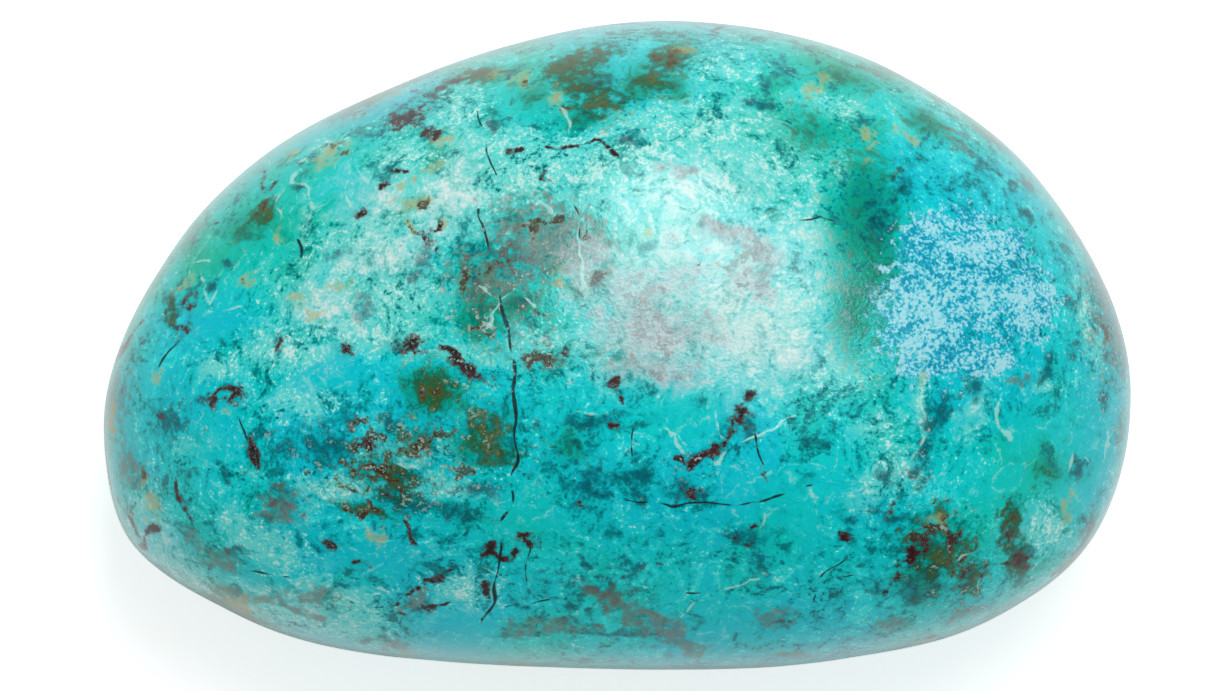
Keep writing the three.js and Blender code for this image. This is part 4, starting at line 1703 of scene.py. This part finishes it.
class ChrysocollaMarks:
    """The stone's minerals, laid over its ground one after another."""

    def __init__(self, finish: PolishedChrysocolla, wire: Wiring, ground: ChrysocollaGround) -> None:
        """Keeps what the marks are made from.

        Args:
            finish: the finish.
            wire: the wiring of its material.
            ground: the ground under the marks.
        """
        self.finish = finish
        self.wire = wire
        self.ground = ground
        self.ragged = RaggedMark().group()
        self.masks: dict[Mineral, Socket] = {}

    def marked(self, look: MarkLook, color: Socket) -> Socket:
        """Lays one mineral over a colour.

        Args:
            look: how the mineral's marks look.
            color: the colour under them.

        Returns:
            The colour with the marks over it.
        """
        wire = self.wire
        sources = self.ground.sources
        feeds = {"Field": sources[look.mineral.value], "Tear": sources["wide" if look.coarse else "fine"]}
        feeds |= {"Grain": sources["grit"], "Raggedness": look.raggedness, "Fill": look.fill}
        feeds |= {"Softness": look.softness, "Core": look.core, "Strength": look.strength}
        made = wire.node("NodeGroup", feeds, node_tree=self.ragged)
        self.masks[look.mineral] = made.outputs["Mask"]
        tint: Feed = look.tints[0][1]
        if len(look.tints) > 1:
            found = sources | {"depth": made.outputs["Depth"]}
            drift = wire.total(*((found[name], weight) for name, weight in self.finish.tint_drift))
            tint = wire.shades(drift, look.tints)
        return wire.blend(made.outputs["Mask"], color, tint)

    def over(self, color: Socket) -> Socket:
        """Lays every mineral over a colour.

        Args:
            color: the ground.

        Returns:
            The colour of the whole stone.
        """
        finish = self.finish
        ground = self.ground
        for look in finish.looks_under:
            color = self.marked(look, color)
        granules = self.wire.shades(ground.mixed(finish.granule_mix), finish.granule_tints)
        color = ground.laid(finish.granules, color, granules)
        for layer in finish.speckle:
            color = ground.laid(layer, color)
        for look in finish.looks_over:
            color = self.marked(look, color)
        for layer in finish.frost:
            color = ground.laid(layer, color)
        return color

    def roughness(self) -> Socket:
        """The polish, duller on chalk and granules and along scratches and cracks.

        Returns:
            The roughness.
        """
        finish = self.finish
        feeds = {"Place": self.ground.place, "Scale": finish.scratch_scale, "Gate": finish.scratch_gate}
        scratched = self.wire.node("NodeGroup", feeds, node_tree=Scratches().group()).outputs["Scratch"]
        return self.wire.total(
            (self.ground.mask(finish.chalk_dulled), finish.chalk_roughness),
            (self.ground.mask(finish.granules.area), finish.granule_roughness),
            (scratched, finish.scratch_roughness),
            (self.masks[Mineral.CRACK], finish.crack_roughness),
            (1.0, finish.polish),
        )


@dataclass
class Pebble:
    """The stone: its form, its minerals and its finish."""

    name: str = "tumbled_pebble"
    form: PebbleForm = field(default_factory=PebbleForm)
    finish: PolishedChrysocolla = field(default_factory=PolishedChrysocolla)

    def build(self) -> bpy.types.Object:
        """Shapes and dresses the stone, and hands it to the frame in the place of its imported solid.

        Returns:
            The stone.
        """
        minerals = MineralMap(self.form)
        piece = PebbleSurface(self.form, minerals).build(self.name)
        piece.data.materials.append(self.finish.material())
        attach(piece, "root")
        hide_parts(STONE)
        return piece


@dataclass(frozen=True)
class TableFinish:
    """Matt white board, with the faintest unevenness of tone."""

    light: Color = chip(246, 246, 246)
    shade: Color = chip(240, 240, 241)
    tone_scale: float = 3.0
    tone_detail: float = 2.0
    roughness: float = 0.9
    specular: float = 0.1
    glow: float = 0.6

    def material(self) -> bpy.types.Material:
        """Builds the finish.

        Returns:
            The material.
        """
        made, wire, shader = shaded_material("white_board")
        place = wire.node("NodeTexCoord").outputs["Object"]
        tone = wire.noise(place, self.tone_scale, self.tone_detail).outputs["Fac"]
        seen = wire.node("NodeLightPath").outputs["Is Camera Ray"]
        feeds = {
            "Base Color": wire.blend(tone, self.light, self.shade),
            "Roughness": self.roughness,
            "Specular IOR Level": self.specular,
            "Emission Color": self.light,
            "Emission Strength": wire.times(seen, self.glow),
        }
        for name, source in feeds.items():
            wire.feed(shader.inputs[name], source)
        return made


@dataclass
class StudioTable:
    """The plain pale table under the stone, in metres, a hair clear of it so that they don't flicker."""

    name: str = "table"
    size: float = 12.0
    clearance: float = 0.00002
    segments: int = 4
    finish: TableFinish = field(default_factory=TableFinish)

    def build(self) -> bpy.types.Object:
        """Makes the table's top, level with the stone's resting flat.

        Returns:
            The table.
        """
        sheet = bmesh.new()
        cuts = {"x_segments": self.segments, "y_segments": self.segments}
        bmesh.ops.create_grid(sheet, size=self.size / 2, **cuts)
        bmesh.ops.translate(sheet, verts=sheet.verts, vec=(0, 0, -self.clearance))
        mesh = bpy.data.meshes.new(self.name)
        sheet.to_mesh(mesh)
        sheet.free()
        table = placed_piece(self.name, mesh)
        table.data.materials.append(self.finish.material())
        return table


@dataclass(frozen=True)
class Softbox:
    """A square-cornered studio light: its name, size, place and aim in metres, and its power in watts."""

    name: str
    width: float
    depth: float
    place: Point
    power: float
    aim: Point = (0.0, 0.0, 0.01)

    def build(self) -> bpy.types.Object:
        """Hangs the light, aimed at the stone.

        Returns:
            The light.
        """
        lamp = bpy.data.lights.new(self.name, "AREA")
        lamp.shape = "RECTANGLE"
        lamp.size = self.width
        lamp.size_y = self.depth
        lamp.energy = self.power
        light = bpy.data.objects.new(self.name, lamp)
        light.location = self.place
        away = Vector(self.place) - Vector(self.aim)
        light.rotation_mode = "QUATERNION"
        light.rotation_quaternion = away.to_track_quat("Z", "Y")
        light.visible_camera = False
        bpy.context.scene.collection.objects.link(light)
        return light


@dataclass
class Studio:
    """The soft light round the table, and the camera that looks straight down, all in metres."""

    lights: tuple[Softbox, ...] = (
        Softbox("overhead softbox", 0.17, 0.44, (0.06, 0.29, 0.42), 1.5, (0.06, 0.29, 0.0)),
    )
    tent_light: float = 0.6
    dim_overhead: float = 0.03
    dim_height: Pair = (0.0, 0.3)
    sensor_width_mm: float = 36.0
    frame_width: float = 0.05384
    camera_height: float = 1.0
    girth_height: float = 0.0092
    camera_place: Pair = (-0.00009, -0.00002)
    clip: Pair = (0.01, 50.0)

    def build(self) -> None:
        """Sets up the air, the lights and the camera."""
        self.light_air()
        for light in self.lights:
            light.build()
        self.place_camera()
        bpy.context.scene.view_settings.view_transform = "Standard"

    def light_air(self) -> None:
        """Surrounds the table with white light, dimmer overhead, where the camera is."""
        world = bpy.data.worlds.new("studio air")
        world.use_nodes = True
        bpy.context.scene.world = world
        wire = Wiring(world.node_tree)
        way = wire.node("NodeTexCoord").outputs["Generated"]
        height = wire.node("NodeSeparateXYZ", {0: way}).outputs["Z"]
        upward = wire.rise(height, *self.dim_height)
        shine = wire.total((upward, self.dim_overhead - self.tent_light), (1.0, self.tent_light))
        matt = wire.node("NodeLightPath").outputs["Is Diffuse Ray"]
        strength = wire.total((matt, self.tent_light), (wire.without(matt), shine))
        background = wire.node("NodeBackground", {"Strength": strength})
        wire.node("NodeOutputWorld", {"Surface": background.outputs[0]})

    def place_camera(self) -> None:
        """Looks straight down, with the stone's length across the frame."""
        lens = bpy.data.cameras.new("camera")
        lens.sensor_width = self.sensor_width_mm
        lens.lens = self.sensor_width_mm * self.camera_height / self.frame_width
        lens.clip_start, lens.clip_end = self.clip
        camera = bpy.data.objects.new("camera", lens)
        camera.location = (*self.camera_place, self.girth_height + self.camera_height)
        bpy.context.scene.collection.objects.link(camera)
        bpy.context.scene.camera = camera


def main() -> None:
    """Builds the table, the stone, the light and the camera, and logs how many faces each piece has."""
    logging.basicConfig(level=logging.INFO, format="%(name)s: %(message)s")
    for piece in (StudioTable(), Pebble()):
        built = piece.build()
        log.info("%s: %d faces", built.name, len(built.data.polygons))
    Studio().build()
    log.info("studio: lights and camera placed")


if __name__ == "__main__":
    main()
